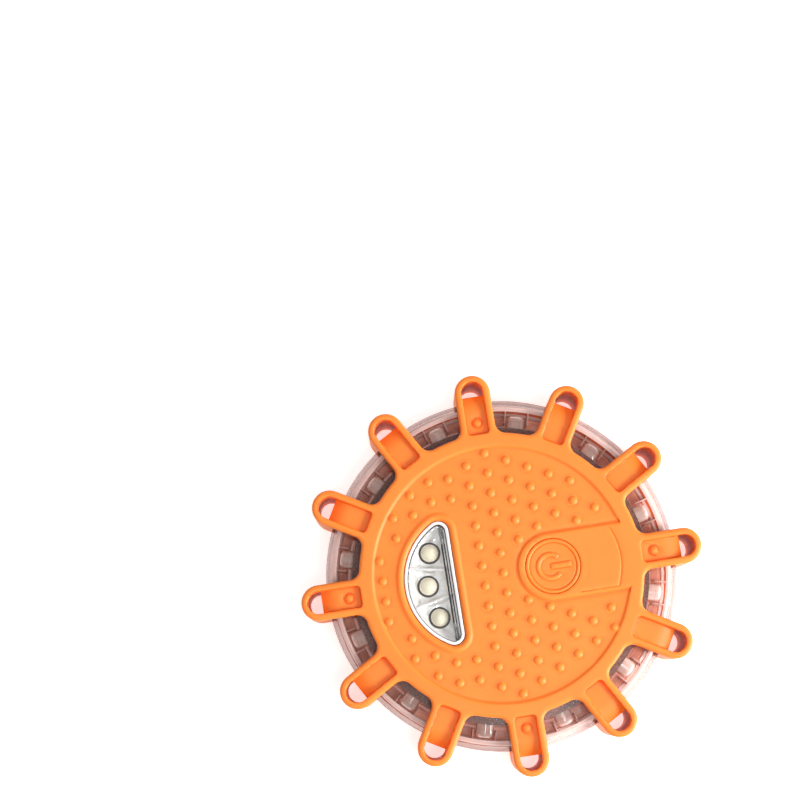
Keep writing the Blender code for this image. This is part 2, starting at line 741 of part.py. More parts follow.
def wires():
    """Leads from the end contacts up past the well to the board."""
    top = PCB_BOTTOM - GAP
    start_x = WELL_HALF[0] + WELL_WALL + WIRE_RADIUS + 0.4 * MM
    steps = 8
    for name, side, look in (("positive", 1, "red_wire"), ("negative", -1, "black_wire")):
        points = []
        for i in range(steps + 1):
            share = i / steps
            bulge = WIRE_BULGE * math.sin(math.pi * share)
            height = WIRE_BOTTOM + (top - WIRE_BOTTOM) * share
            points.append((side * (start_x + bulge), -side * WIRE_Y, height))
        part(f"wire_{name}", tube(points, WIRE_RADIUS), look)


def hook_route():
    """Half of a turn round the magnet, straight arms, and trunnions that point outwards."""
    y, bend = HOOK_PIVOT_Y, HOOK_BEND
    side = [(HOOK_RADIUS + HOOK_TRUNNION, y), (HOOK_RADIUS + bend, y)]
    side += [(HOOK_RADIUS + bend * 0.3, y + bend * 0.3)]
    side += [(HOOK_RADIUS, y + bend), (HOOK_RADIUS, y / 2)]
    loop = arc((0, 0), HOOK_RADIUS, 0, math.pi, 16)
    mirrored = [(-px, py) for px, py in reversed(side)]
    return [(px, py, HOOK_Z) for px, py in side + loop + mirrored]


def hook_groove():
    """The outline of the groove that the folded hook lies in."""
    outer, inner = HOOK_RADIUS + HOOK_GROOVE_HALF, HOOK_RADIUS - HOOK_GROOVE_HALF
    tail = HOOK_PIVOT_Y - HOOK_GROOVE_TAIL
    found = arc((0, 0), outer, 0, math.pi, 16) + [(-outer, tail), (-inner, tail)]
    return found + arc((0, 0), inner, math.pi, 0, 16) + [(inner, tail), (outer, tail)]


def cut_hook_pivots(made):
    """A round seat for each trunnion, with a narrower mouth that it snaps in through."""
    reach = HOOK_RADIUS + HOOK_TRUNNION + GAP
    seat = cylinder(HOOK_WIRE + GAP, 0, reach - HOOK_RADIUS, sides=16)
    for side, name in ((1, "right"), (-1, "left")):
        turn = Matrix.Rotation(side * math.pi / 2, 4, "Y")
        place = Matrix.Translation((side * HOOK_RADIUS, HOOK_PIVOT_Y, HOOK_Z)) @ turn
        cut(made, copies(seat, [place]), f"pivot_{name}")
        ends = sorted((side * HOOK_RADIUS, side * reach))
        low = (ends[0], HOOK_PIVOT_Y - SNAP_HALF, -CLEAR)
        high = (ends[1], HOOK_PIVOT_Y + SNAP_HALF, HOOK_Z)
        cut(made, box(low, high), f"snap_{name}")


def battery_cover():
    """The round cover on the back, with the magnet pocket and the hook's groove."""
    chamfer = 0.5 * MM
    profile = [(0, COVER_TOP), (COVER_RADIUS, COVER_TOP), (COVER_RADIUS, COVER_BOTTOM + chamfer)]
    profile += [(COVER_RADIUS - chamfer, COVER_BOTTOM), (0, COVER_BOTTOM)]
    made = part("battery_cover", turned(profile, CASE_STEPS), "rubber")
    pocket_top = COVER_BOTTOM + MAGNET_THICKNESS + GAP
    cut(made, cylinder(MAGNET_RADIUS + GAP, -CLEAR, pocket_top, sides=32), "magnet_pocket")
    roof = COVER_TOP - 0.55 * MM
    cut(made, plate([hook_groove()], -CLEAR, roof), "hook_groove")
    cut_hook_pivots(made)
    half, reach = NOTCH_SIZE[0] / 2, NOTCH_SIZE[1]
    notch = box((-half, HOOK_RADIUS, -CLEAR), (half, HOOK_RADIUS + reach, roof - 0.1 * MM))
    cut(made, notch, "finger_notch")
    for i, place in enumerate(COVER_SCREW_PLACES, 1):
        cut(made, cylinder(COVER_HEAD_HOLE[0], -CLEAR, COVER_HEAD_HOLE[1], place, 14), f"head_{i}")
        cut(made, cylinder(COVER_PILOT[0], -CLEAR, HEIGHT, place, 10), f"bore_{i}")
    groove = gasket_ring(GASKET_HALF + 0.1 * MM, COVER_TOP - 1.0 * MM, HEIGHT)
    cut(made, groove, "gasket_groove")


def rounded_rectangle(half_x, half_y, corner):
    quarter = math.pi / 2
    found = []
    for i, (sx, sy) in enumerate(((1, 1), (-1, 1), (-1, -1), (1, -1))):
        centre = (sx * (half_x - corner), sy * (half_y - corner))
        found += arc(centre, corner, i * quarter, (i + 1) * quarter, 4)
    return found


def gasket_ring(half_width, bottom, top):
    middle = (WELL_HALF[0] + GASKET_OFFSET, WELL_HALF[1] + GASKET_OFFSET, GASKET_CORNER)
    outer = rounded_rectangle(*(size + half_width for size in middle))
    inner = rounded_rectangle(*(size - half_width for size in middle))
    return plate([outer, inner], bottom, top)


def screw(name, head_bottom, tip, head_radius, shank_radius, place):
    """A pan-head screw with a cross slot, head down."""
    head_top = head_bottom + SCREW_HEAD
    edge = SCREW_EDGE
    profile = [(0, tip), (shank_radius * 0.5, tip), (shank_radius, tip - SCREW_POINT)]
    profile += [(shank_radius, head_top), (head_radius, head_top)]
    profile += [(head_radius, head_bottom + edge), (head_radius - edge, head_bottom), (0, head_bottom)]
    made = part(name, turned(profile, 14), "steel", Matrix.Translation((*place, 0)))
    arm, half = head_radius * 0.6, 0.3 * MM
    low, high = head_bottom - SCREW_HEAD, head_bottom + SCREW_HEAD / 2
    for axis, size in (("x", (arm, half)), ("y", (half, arm))):
        cut(made, box((-size[0], -size[1], low), (size[0], size[1], high)), f"slot_{axis}")
        made.modifiers[-1].object.matrix_world = made.matrix_world


def fasteners():
    for i, place in enumerate(COVER_SCREW_PLACES, 1):
        screw(f"cover_screw_{i}", 0.7 * MM, 9.0 * MM, 2.1 * MM, 1.0 * MM, place)
    for i, place in enumerate(CASE_SCREW_PLACES, 1):
        screw(f"case_screw_{i}", 3.7 * MM, 18.0 * MM, 2.0 * MM, 1.2 * MM, place)


def back():
    """The battery cover with its gasket, magnet and hook."""
    battery_cover()
    gasket = gasket_ring(GASKET_HALF, COVER_TOP - 0.9 * MM, CASE_BOTTOM - 0.1 * MM)
    part("cover_gasket", gasket, "seal")
    magnet = cylinder(MAGNET_RADIUS, COVER_BOTTOM, COVER_BOTTOM + MAGNET_THICKNESS, sides=32)
    part("magnet", magnet, "steel")
    mesh = tube(hook_route(), HOOK_WIRE, 3)
    pivot = Vector((0, HOOK_PIVOT_Y, HOOK_Z))
    mesh.transform(Matrix.Translation(-pivot))
    part("hanging_hook", mesh, "black_plastic", Matrix.Translation(pivot))


for old in list(bpy.data.objects):
    bpy.data.objects.remove(old)
PARTS = collection("led_safety_flare")
HELPERS = collection("cutters")
top_bumper()
bottom_bumper()
top_case()
base_case()
case_seal()
main_pcb()
side_leds()
torch()
power_button()
switch()
cells()
contact_plates()
cell_springs()
wires()
back()
fasteners()
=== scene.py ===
"""LED safety flare: detailed model, materials, studio and camera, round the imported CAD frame."""
import math

import bmesh
import bpy
import numpy as np
from mathutils import Matrix, Vector
from mathutils.geometry import delaunay_2d_cdt
from mathutils.kdtree import KDTree


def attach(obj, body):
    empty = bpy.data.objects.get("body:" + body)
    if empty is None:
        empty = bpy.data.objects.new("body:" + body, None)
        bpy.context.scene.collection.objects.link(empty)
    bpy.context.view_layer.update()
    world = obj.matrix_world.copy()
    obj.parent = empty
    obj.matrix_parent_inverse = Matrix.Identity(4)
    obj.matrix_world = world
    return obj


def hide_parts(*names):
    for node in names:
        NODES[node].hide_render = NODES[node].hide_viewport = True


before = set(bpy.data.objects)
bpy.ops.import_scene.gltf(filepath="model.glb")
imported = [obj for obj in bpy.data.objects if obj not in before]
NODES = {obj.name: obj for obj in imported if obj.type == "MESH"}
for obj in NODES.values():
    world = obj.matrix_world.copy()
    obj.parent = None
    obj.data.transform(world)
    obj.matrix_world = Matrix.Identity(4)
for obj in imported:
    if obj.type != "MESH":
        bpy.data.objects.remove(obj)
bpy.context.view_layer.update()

MM = 0.001

# Bumper, case and cover, in millimetres, in the row frame. The lower half is made turned over.
HEIGHT = 24.0
SEAM_UPPER = 9.35
SEAM_LOWER = 9.05
TIP_RADIUS = 54.97
FINGERS = 12
STEP = 2 * math.pi / FINGERS
FINGER_HALF = 4.83
ROOT_FILLET = 2.9
RIM_RADIUS = 38.7
SLOT_HALF = 3.0
SLOT_INNER = 38.6
SLOT_OUTER = 53.3
SLOT_DEPTH = 1.6
SADDLE_START = 44.6
SADDLE_DROP = 1.9
HOLE_INNER = 49.4
STUD_RADIUS = 41.9
DISC_RADIUS = 35.3
DISC_DEPTH = 0.5
CASE_RADIUS = 47.8
CASE_SPACE = 48.05
CASE_WALL = 1.5
CASE_FLANGE = 3.2
CASE_TOP = 21.2
CASE_BOTTOM = 3.4
DOT_RADIUS = 1.25
DOT_HEIGHT = 0.48
OPENING = 33.8
COVER_RADIUS = 33.5
COVER_SCREWS = [(19.0 * sx, 23.5 * sy) for sx in (-1, 1) for sy in (-1, 1)]
WELL_HALF = (25.3, 16.5)
WELL_TOP = 15.2
HOOK_RADIUS = 12.0

# Roundings and small relief on the bumper.
EDGE_ROUND = 0.85
SLOT_EDGE_ROUND = 0.35
SLOT_FLOOR_ROUND = 0.45
SEAM_ROUND = 0.3
OPENING_ROUND = 0.7
SHOULDER_ROUND = 1.5
CASE_GAP = 0.35
STUD_WELL = 1.7
STUD_SIZE = 1.2
STUD_HEIGHT = 0.75
DISC_EDGE = 0.95
GROOVE_DEPTH = 0.62

# Torch window and button tongue.
MOON_CENTRE = -7.6
MOON_RADIUS = 19.0
MOON_SIDE = -12.3
MOON_CORNER = 3.0
COLLAR = 2.3
REFLECTOR_INSET = 1.2
BUTTON_X = 14.1
BUTTON_RADIUS = 7.5
TONGUE_HALF = 9.45
TONGUE_END = 13.6
GROOVE_HALF = 0.95
GAP = 0.07
PANEL_ARC = 9.6
PANEL_DEPTH = 0.14
ARC_DEPTH = 0.07
LED_PLACES = ((-18.4, 8.9), (-20.15, 0.0), (-18.4, -8.9))
BOWL_GROOVES = (0.55, 1.3)
BOWL_GROOVE_HALF = 0.16

# The photo's camera, and the studio: place, what it points at, size and watts.
CAMERA_PLACE = (-0.02784, -0.02735, 0.6487)
CAMERA_TURN = (0.99496, 0.06287, -0.00145, -0.07809)
CAMERA_LENS = 103.5
LIGHTS = {
    "key": ((0.56, -0.26, 0.5), (0, 0, 0.01), (0.28, 0.28), 6.5),
    "low": ((0.6, -0.3, 0.13), (0, 0, 0.01), (0.3, 0.1), 4.2),
    "fill": ((0.06, -0.12, 0.68), (0, 0, 0), (0.12, 0.12), 0.7),
}
TABLE_GLOW = 0.62
BACKDROP = 0.95
SKY_LOW, SKY_HIGH = 0.26, 0.68

PIECES = bpy.data.collections.new("visual")
bpy.context.scene.collection.children.link(PIECES)


# --- outlines -------------------------------------------------------------------------------

def arc(centre, radius, start, end, steps):
    angles = np.linspace(start, end, steps + 1)
    return [(centre[0] + radius * math.cos(a), centre[1] + radius * math.sin(a)) for a in angles]


def circle(radius, steps, centre=(0, 0)):
    return arc(centre, radius, 0, 2 * math.pi, steps)[:-1]


def turned_points(points, angle):
    c, s = math.cos(angle), math.sin(angle)
    return [(c * x - s * y, s * x + c * y) for x, y in points]


def bumper_outline(inset=0.0):
    """The rim with its twelve fingers, moved inwards by an inset."""
    half = FINGER_HALF - inset
    fillet = ROOT_FILLET + inset
    rim = RIM_RADIUS - inset
    fillet_y = half + fillet
    fillet_x = math.sqrt((rim + fillet) ** 2 - fillet_y**2)
    root = math.atan2(fillet_y, fillet_x)
    quarter = math.pi / 2
    tip = arc((TIP_RADIUS - FINGER_HALF, 0), half, -quarter, quarter, 20)
    side = np.linspace(TIP_RADIUS - FINGER_HALF, fillet_x, 12)[1:-1]
    upper = [(x, half) for x in side]
    upper += arc((fillet_x, fillet_y), fillet, -quarter, -math.pi + root, 8)
    lower = [(x, -y) for x, y in reversed(upper)]
    rim_arc = arc((0, 0), rim, root, STEP - root, 4)[1:-1]
    found = []
    for i in range(FINGERS):
        found += turned_points(lower + tip + upper + rim_arc, i * STEP)
    return found


def slot_outline(grow=0.0):
    half = SLOT_HALF + grow
    corner = 1.0 + grow
    quarter = math.pi / 2
    inner = SLOT_INNER - grow
    corner = max(corner, 0.15)
    found = arc((SLOT_OUTER - SLOT_HALF, 0), half, -quarter, quarter, 16)
    found += [(x, half) for x in np.linspace(SLOT_OUTER - SLOT_HALF, inner + corner, 14)[1:-1]]
    found += arc((inner + corner, half - corner), corner, quarter, math.pi, 5)
    found += arc((inner + corner, corner - half), corner, math.pi, 3 * quarter, 5)
    found += [(x, -half) for x in np.linspace(inner + corner, SLOT_OUTER - SLOT_HALF, 14)[1:-1]]
    return found


def hole_outline():
    quarter = math.pi / 2
    found = arc((SLOT_OUTER - SLOT_HALF, 0), SLOT_HALF, -quarter, quarter, 16)
    found += [(HOLE_INNER, SLOT_HALF), (HOLE_INNER, SLOT_HALF - 0.05)]
    found += [(HOLE_INNER, y) for y in np.linspace(SLOT_HALF - 0.05, 0.05 - SLOT_HALF, 12)[1:-1]]
    found += [(HOLE_INNER, 0.05 - SLOT_HALF), (HOLE_INNER, -SLOT_HALF)]
    return found


def moon_outline(grow=0.0):
    radius = MOON_RADIUS + grow
    corner = max(MOON_CORNER + grow, 0.4)
    side = MOON_SIDE + grow
    corner_x = side - corner
    corner_y = math.sqrt((radius - corner) ** 2 - (corner_x - MOON_CENTRE) ** 2)
    bend = math.atan2(corner_y, corner_x - MOON_CENTRE)
    found = arc((corner_x, corner_y), corner, 0, bend, 12)
    found += arc((MOON_CENTRE, 0), radius, bend, 2 * math.pi - bend, 56)[1:-1]
    found += arc((corner_x, -corner_y), corner, 2 * math.pi - bend, 2 * math.pi, 12)
    found += [(side, y) for y in np.linspace(-corner_y, corner_y, 28)[1:-1]]
    return found


def tongue_outline(grow=0.0):
    half = TONGUE_HALF + grow
    quarter = math.pi / 2
    reach = math.sqrt(DISC_RADIUS**2 - half**2)
    found = [(x, half) for x in np.linspace(reach, TONGUE_END, 40)[:-1]]
    found += arc((TONGUE_END, 0), half, quarter, 3 * quarter, 48)
    found += [(x, -half) for x in np.linspace(TONGUE_END, reach, 40)[1:]]
    return found


def panel_line(grow=0.0):
    """The thin line along the far end and one side of the blank panel on the tongue."""
    radius = 18.6 + grow
    half = 8.1 + grow
    bend = math.asin(half / radius)
    found = arc((BUTTON_X, 0), radius, bend * 0.96, -bend, 44)
    return found + [(x, -half) for x in np.linspace(BUTTON_X + radius * math.cos(bend), 20.5, 26)[1:]]


def rounded_box(half_x, half_y, corner, centre=(0, 0)):
    found = []
    for i, (sx, sy) in enumerate(((1, 1), (-1, 1), (-1, -1), (1, -1))):
        middle = (centre[0] + sx * (half_x - corner), centre[1] + sy * (half_y - corner))
        found += arc(middle, corner, i * math.pi / 2, (i + 1) * math.pi / 2, 6)
    return found


# --- distances ------------------------------------------------------------------------------

def line_distance(x, y, points, closed=True):
    """The distance from each place to the nearest stretch of a line."""
    a = np.array(points, float)
    b = np.roll(a, -1, axis=0)
    if not closed:
        a, b = a[:-1], b[:-1]
    best = np.full(x.shape, np.inf)
    for (ax, ay), (bx, by) in zip(a, b):
        ex, ey = bx - ax, by - ay
        size = ex * ex + ey * ey
        if size < 1e-18:
            continue
        t = np.clip(((x - ax) * ex + (y - ay) * ey) / size, 0, 1)
        best = np.minimum(best, np.hypot(x - ax - t * ex, y - ay - t * ey))
    return best


def inside(x, y, points):
    found = np.zeros(x.shape, bool)
    a = np.array(points, float)
    b = np.roll(a, -1, axis=0)
    for (ax, ay), (bx, by) in zip(a, b):
        if ay == by:
            continue
        crosses = (ay > y) != (by > y)
        found ^= crosses & (x < (bx - ax) * (y - ay) / (by - ay) + ax)
    return found


def depth_in(x, y, points):
    """Signed distance to a closed outline, positive inside it."""
    d = line_distance(x, y, points)
    return np.where(inside(x, y, points), d, -d)


def smooth(t):
    t = np.clip(t, 0, 1)
    return t * t * (3 - 2 * t)


def rounding(d, radius):
    """How far a rounded edge of that radius has dropped at a distance in from the edge."""
    t = np.clip(radius - d, 0, radius)
    return radius - np.sqrt(np.maximum(radius**2 - t**2, 0))


def folded(x, y):
    """Each place turned into the nearest finger's own frame, and which finger that is."""
    which = np.round(np.arctan2(y, x) / STEP)
    c, s = np.cos(which * STEP), np.sin(which * STEP)
    return c * x + s * y, c * y - s * x, which.astype(int) % FINGERS


# --- meshes ---------------------------------------------------------------------------------

def piece(name, mesh, body, materials, sharp=38):
    made = bpy.data.objects.new(name, mesh)
    for material in materials:
        mesh.materials.append(material)
    mesh.shade_smooth()
    mesh.set_sharp_from_angle(angle=math.radians(sharp))
    PIECES.objects.link(made)
    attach(made, body)
    return made


def flat_net(outer, holes, lines, spacing):
    """Triangles over an outline less its holes, with an edge along every line. In millimetres."""
    points, edges = [], []

    def add(line, closed):
        start = len(points)
        points.extend(line)
        edges.extend((start + i, start + i + 1) for i in range(len(line) - 1))
        if closed:
            edges.append((start + len(line) - 1, start))

    for loop in (outer, *holes):
        add(loop, True)
    for line, closed in lines:
        add(line, closed)
    tree_points = []
    for a, b in edges:
        pa, pb = np.array(points[a]), np.array(points[b])
        count = max(1, int(np.linalg.norm(pb - pa) / (spacing * 0.5)))
        tree_points += [tuple(pa + (pb - pa) * i / count) for i in range(count)]
    tree = KDTree(len(tree_points))
    for i, p in enumerate(tree_points):
        tree.insert((p[0], p[1], 0), i)
    tree.balance()
    low, high = np.min(outer, axis=0), np.max(outer, axis=0)
    grid = []
    rows = int((high[1] - low[1]) / (spacing * 0.866)) + 2
    for j in range(rows):
        y = low[1] + j * spacing * 0.866
        xs = np.arange(low[0] + (j % 2) * spacing / 2, high[0], spacing)
        grid += [(x, y) for x in xs]
    grid = np.array(grid)
    keep = inside(grid[:, 0], grid[:, 1], outer)
    for hole in holes:
        hole_low, hole_high = np.min(hole, axis=0), np.max(hole, axis=0)
        near = keep & (grid >= hole_low).all(1) & (grid <= hole_high).all(1)
        keep[near] &= ~inside(grid[near, 0], grid[near, 1], hole)
    for x, y in grid[keep]:
        if tree.find((x, y, 0))[2] > spacing * 0.45:
            points.append((x, y))
    made = delaunay_2d_cdt([Vector(p) for p in points], edges, [], 0, 1e-5)
    xy = np.array([tuple(v) for v in made[0]])
    faces = np.array([f for f in made[2] if len(f) == 3])
    middle = xy[faces].mean(axis=1)
    keep = inside(middle[:, 0], middle[:, 1], outer)
    for hole in holes:
        hole_low, hole_high = np.min(hole, axis=0), np.max(hole, axis=0)
        near = keep & (middle >= hole_low).all(1) & (middle <= hole_high).all(1)
        keep[near] &= ~inside(middle[near, 0], middle[near, 1], hole)
    faces = faces[keep]
    used, faces = np.unique(faces, return_inverse=True)
    faces = faces.reshape(-1, 3)
    xy = xy[used]
    a, b, c = xy[faces[:, 0]], xy[faces[:, 1]], xy[faces[:, 2]]
    area = (b[:, 0] - a[:, 0]) * (c[:, 1] - a[:, 1]) - (b[:, 1] - a[:, 1]) * (c[:, 0] - a[:, 0])
    faces[area < 0] = faces[area < 0][:, ::-1]
    return xy, faces[np.abs(area) > 1e-9]


def relief(outer, holes, lines, spacing, top, bottom, flip=False):
    """A solid between two height fields, both in millimetres. flip turns it over about X."""
    xy, faces = flat_net(outer, holes, lines, spacing)
    x, y = xy[:, 0], xy[:, 1]
    high, low = top(x, y), bottom(x, y)
    high = np.maximum(high, low + 0.02)
    count = len(xy)
    ends = np.concatenate([faces[:, [0, 1]], faces[:, [1, 2]], faces[:, [2, 0]]])
    seen = {tuple(e) for e in ends.tolist()}
    rim = [e for e in ends.tolist() if (e[1], e[0]) not in seen]
    verts = np.concatenate([np.column_stack([x, y, high]), np.column_stack([x, y, low])])
    polys = faces.tolist() + [[a + count, c + count, b + count] for a, b, c in faces.tolist()]
    polys += [[b, a, a + count, b + count] for a, b in rim]
    if flip:
        verts[:, 2] *= -1
        polys = [p[::-1] for p in polys]
    mesh = bpy.data.meshes.new("relief")
    mesh.from_pydata((verts * MM).tolist(), [], polys)
    work = bmesh.new()
    work.from_mesh(mesh)
    loose = [v for v in work.verts if not v.link_faces]
    bmesh.ops.delete(work, geom=loose, context="VERTS")
    work.to_mesh(mesh)
    work.free()
    return mesh


def revolved(profile, steps=96, closed=False):
    """A profile of (radius, height) points in millimetres, outer side top to bottom, turned about Z."""
    work = bmesh.new()
    rings = []
    for radius, z in profile:
        if radius < 1e-6:
            rings.append([work.verts.new((0, 0, z * MM))])
        else:
            rings.append([
                work.verts.new((radius * MM * math.cos(a), radius * MM * math.sin(a), z * MM))
                for a in (2 * math.pi * i / steps for i in range(steps))
            ])
    pairs = list(zip(rings, rings[1:]))
    if closed:
        pairs.append((rings[-1], rings[0]))
    for upper, lower in pairs:
        for i in range(steps):
            j = (i + 1) % steps
            if len(upper) == 1 and len(lower) == 1:
                continue
            if len(upper) == 1:
                work.faces.new((upper[0], lower[i], lower[j]))
            elif len(lower) == 1:
                work.faces.new((upper[i], lower[0], upper[j]))
            else:
                work.faces.new((upper[i], lower[i], lower[j], upper[j]))
    mesh = bpy.data.meshes.new("revolved")
    bmesh.ops.recalc_face_normals(work, faces=work.faces)
    work.to_mesh(mesh)
    work.free()
    return mesh


def rounded(profile, radii, steps=5):
    """A profile with its corners rounded: one radius for each point, 0 to leave it sharp."""
    found = []
    for i, (point, radius) in enumerate(zip(profile, radii)):
        if radius <= 0 or i in (0, len(profile) - 1):
            found.append(point)
            continue
        p = np.array(point)
        before, after = np.array(profile[i - 1]) - p, np.array(profile[i + 1]) - p
        u, v = before / np.linalg.norm(before), after / np.linalg.norm(after)
        angle = math.acos(np.clip(u @ v, -1, 1))
        reach = radius / math.tan(angle / 2)
        middle = p + (u + v) / np.linalg.norm(u + v) * radius / math.sin(angle / 2)
        start, end = p + u * reach, p + v * reach
        a0 = math.atan2(*(start - middle)[::-1])
        a1 = math.atan2(*(end - middle)[::-1])
        if a1 - a0 > math.pi:
            a1 -= 2 * math.pi
        if a0 - a1 > math.pi:
            a1 += 2 * math.pi
        found += arc(middle, radius, a0, a1, steps)
    return found


def placed(mesh, x=0.0, y=0.0):
    """Moves a mesh sideways, in millimetres."""
    mesh.transform(Matrix.Translation((x * MM, y * MM, 0)))
    return mesh


def joined(parts):
    """One mesh of several, each with its material's index, or None to keep the indices it has."""
    work = bmesh.new()
    for mesh, index in parts:
        start = len(work.faces)
        work.from_mesh(mesh)
        work.faces.ensure_lookup_table()
        if index is not None:
            for face in work.faces[start:]:
                face.material_index = index
    made = bpy.data.meshes.new("joined")
    work.to_mesh(made)
    work.free()
    return made


# --- materials ------------------------------------------------------------------------------

class Nodes:
    """A material's node tree, with short ways to add what these surfaces share."""

    def __init__(self, name):
        self.material = bpy.data.materials.new(name)
        self.material.use_nodes = True
        self.tree = self.material.node_tree
        self.shader = self.tree.nodes["Principled BSDF"]
        self.place = self.tree.nodes.new("ShaderNodeTexCoord").outputs["Object"]

    def add(self, kind, **inputs):
        node = self.tree.nodes.new(kind)
        for key, value in inputs.items():
            if key in node.inputs:
                self.put(node.inputs[key], value)
            else:
                setattr(node, key, value)
        return node

    def put(self, socket, value):
        if isinstance(value, bpy.types.NodeSocket):
            self.tree.links.new(value, socket)
        else:
            socket.default_value = value

    def noise(self, scale, detail=4, roughness=0.55):
        node = self.add("ShaderNodeTexNoise", Scale=scale, Detail=detail, Roughness=roughness)
        self.put(node.inputs["Vector"], self.place)
        return node.outputs["Fac"]

    def ramp(self, source, stops):
        node = self.tree.nodes.new("ShaderNodeValToRGB")
        elements = node.color_ramp.elements
        while len(elements) < len(stops):
            elements.new(0.5)
        for element, (position, colour) in zip(elements, stops):
            element.position = position
            element.color = (*colour, 1)
        self.put(node.inputs["Fac"], source)
        return node.outputs["Color"]

    def span(self, source, low, high):
        node = self.add("ShaderNodeMapRange")
        self.put(node.inputs["Value"], source)
        node.inputs["To Min"].default_value = low
        node.inputs["To Max"].default_value = high
        return node.outputs["Result"]

    def bump(self, height, distance, strength=1.0):
        node = self.tree.nodes.new("ShaderNodeBump")
        node.inputs["Strength"].default_value = strength
        node.inputs["Distance"].default_value = distance
        self.put(node.inputs["Height"], height)
        return node.outputs["Normal"]

    def set(self, **values):
        names = {
            "color": "Base Color", "rough": "Roughness", "metal": "Metallic", "normal": "Normal",
            "coat": "Coat Weight", "coat_rough": "Coat Roughness", "alpha": "Alpha",
            "specular": "Specular IOR Level", "sub": "Subsurface Weight",
            "sub_radius": "Subsurface Radius", "sub_scale": "Subsurface Scale",
            "emission": "Emission Color", "glow": "Emission Strength",
        }
        for key, value in values.items():
            self.put(self.shader.inputs[names[key]], value)
        return self.material


def rubber(name, light, dark, crease_shade):
    """Moulded orange rubber: a fine matt grain, a slow drift of colour, and painted shade that makes the
    creases redder and darker.
    """
    n = Nodes(name)
    drift = n.noise(90, 3)
    colour = n.ramp(drift, [(0.3, dark), (0.7, light)])
    # Painted shade: where the surface is hollow, by pointiness, the colour turns to the redder, darker
    # crease shade.
    geometry = n.add("ShaderNodeNewGeometry")
    stops = [(0.46, (0, 0, 0)), (0.499, (0.94,) * 3), (0.515, (1, 1, 1))]
    edge = n.ramp(geometry.outputs["Pointiness"], stops)
    crease_shade_mix = n.add("ShaderNodeMix", data_type="RGBA")
    n.put(crease_shade_mix.inputs[0], edge)
    n.put(crease_shade_mix.inputs[6], crease_shade + (1,))
    n.put(crease_shade_mix.inputs[7], colour)
    grain = n.noise(2600, 2)
    n.set(color=crease_shade_mix.outputs[2], rough=n.span(n.noise(260), 0.42, 0.56),
          normal=n.bump(grain, 0.00003, 0.6))
    n.set(sub=0.06, sub_radius=(1.0, 0.3, 0.08), sub_scale=0.0015, specular=0.35)
    return n.material


def clear(name, body, least, most, rough=0.06, coat=0.4):
    """Clear moulded plastic: see-through face on and fuller along its walls, with painted shade that
    darkens and reddens its colour where a wall is seen edge on.
    """
    n = Nodes(name)
    haze = n.noise(350, 3)
    edge = n.add("ShaderNodeLayerWeight", Blend=0.5).outputs["Facing"]
    fullness = n.ramp(edge, [(0.0, (least,) * 3), (0.3, (least * 1.5,) * 3), (0.85, (most,) * 3)])
    # Painted shade: the colour is multiplied darker and redder towards grazing view, standing in for the
    # dark edges of refracting walls.
    edge_shaded_tint = n.add("ShaderNodeMix", data_type="RGBA", blend_type="MULTIPLY")
    n.put(edge_shaded_tint.inputs[0], 1.0)
    n.put(edge_shaded_tint.inputs[6], n.ramp(haze, [(0.3, tuple(c * 0.9 for c in body)), (0.7, body)]))
    n.put(edge_shaded_tint.inputs[7], n.ramp(edge, [(0.25, (1, 1, 1)), (0.8, (0.7, 0.42, 0.34))]))
    n.set(color=edge_shaded_tint.outputs[2], alpha=fullness, rough=n.span(haze, rough * 0.7, rough * 1.5),
          coat=coat, coat_rough=0.03, normal=n.bump(n.noise(70, 2), 0.00003, 0.3))
    return n.material


def metal(name, colour, rough, mirror=1.0):
    """Metal or plating with fine wear. A mirror under 1 leaves some of it white and matt."""
    n = Nodes(name)
    wear = n.noise(900, 5)
    dull = tuple(c * 0.88 for c in colour)
    n.set(color=n.ramp(wear, [(0.3, dull), (0.6, colour)]), metal=mirror,
          rough=n.span(wear, rough * 0.7, rough * 1.5), normal=n.bump(wear, 0.00002, 0.4))
    return n.material


def plastic(name, colour, rough, coat=0.0):
    """Opaque plastic or rubber in one colour that drifts a little."""
    n = Nodes(name)
    drift = n.noise(700, 4)
    dark = tuple(c * 0.8 for c in colour)
    n.set(color=n.ramp(drift, [(0.3, dark), (0.7, colour)]), coat=coat,
          rough=n.span(drift, rough * 0.8, rough * 1.2), normal=n.bump(drift, 0.00003, 0.4))
    return n.material


def board_material():
    """Circuit board: lacquer over a faint pattern of tracks."""
    n = Nodes("board")
    cells = n.add("ShaderNodeTexVoronoi", feature="DISTANCE_TO_EDGE", Scale=1100)
    n.put(cells.inputs["Vector"], n.place)
    tracks = n.ramp(cells.outputs["Distance"], [(0.03, (0.2, 0.085, 0.06)), (0.12, (0.10, 0.04, 0.03))])
    n.set(color=tracks, rough=n.span(n.noise(500), 0.25, 0.4), coat=0.3,
          normal=n.bump(cells.outputs["Distance"], 0.00004, 0.5))
    return n.material


# The third colour is the painted shade in the rubber's creases.
ORANGE = rubber("orange_rubber", (0.95, 0.236, 0.030), (0.94, 0.218, 0.026), (0.95, 0.12, 0.01))
# The clear case's brown colour is painted orange bounce and shade, seen along its walls.
CLEAR_PAINTED_BOUNCE = clear("clear_case", (0.52, 0.17, 0.10), 0.04, 0.74, coat=0.0)
# Pale plastic: frosting on the lamp ribs, and painted light for the band under the case's roof.
FROST_AND_PAINTED_LIGHT = clear("frost_and_painted_light_band", (0.98, 0.74, 0.68), 0.62, 0.9, 0.3)
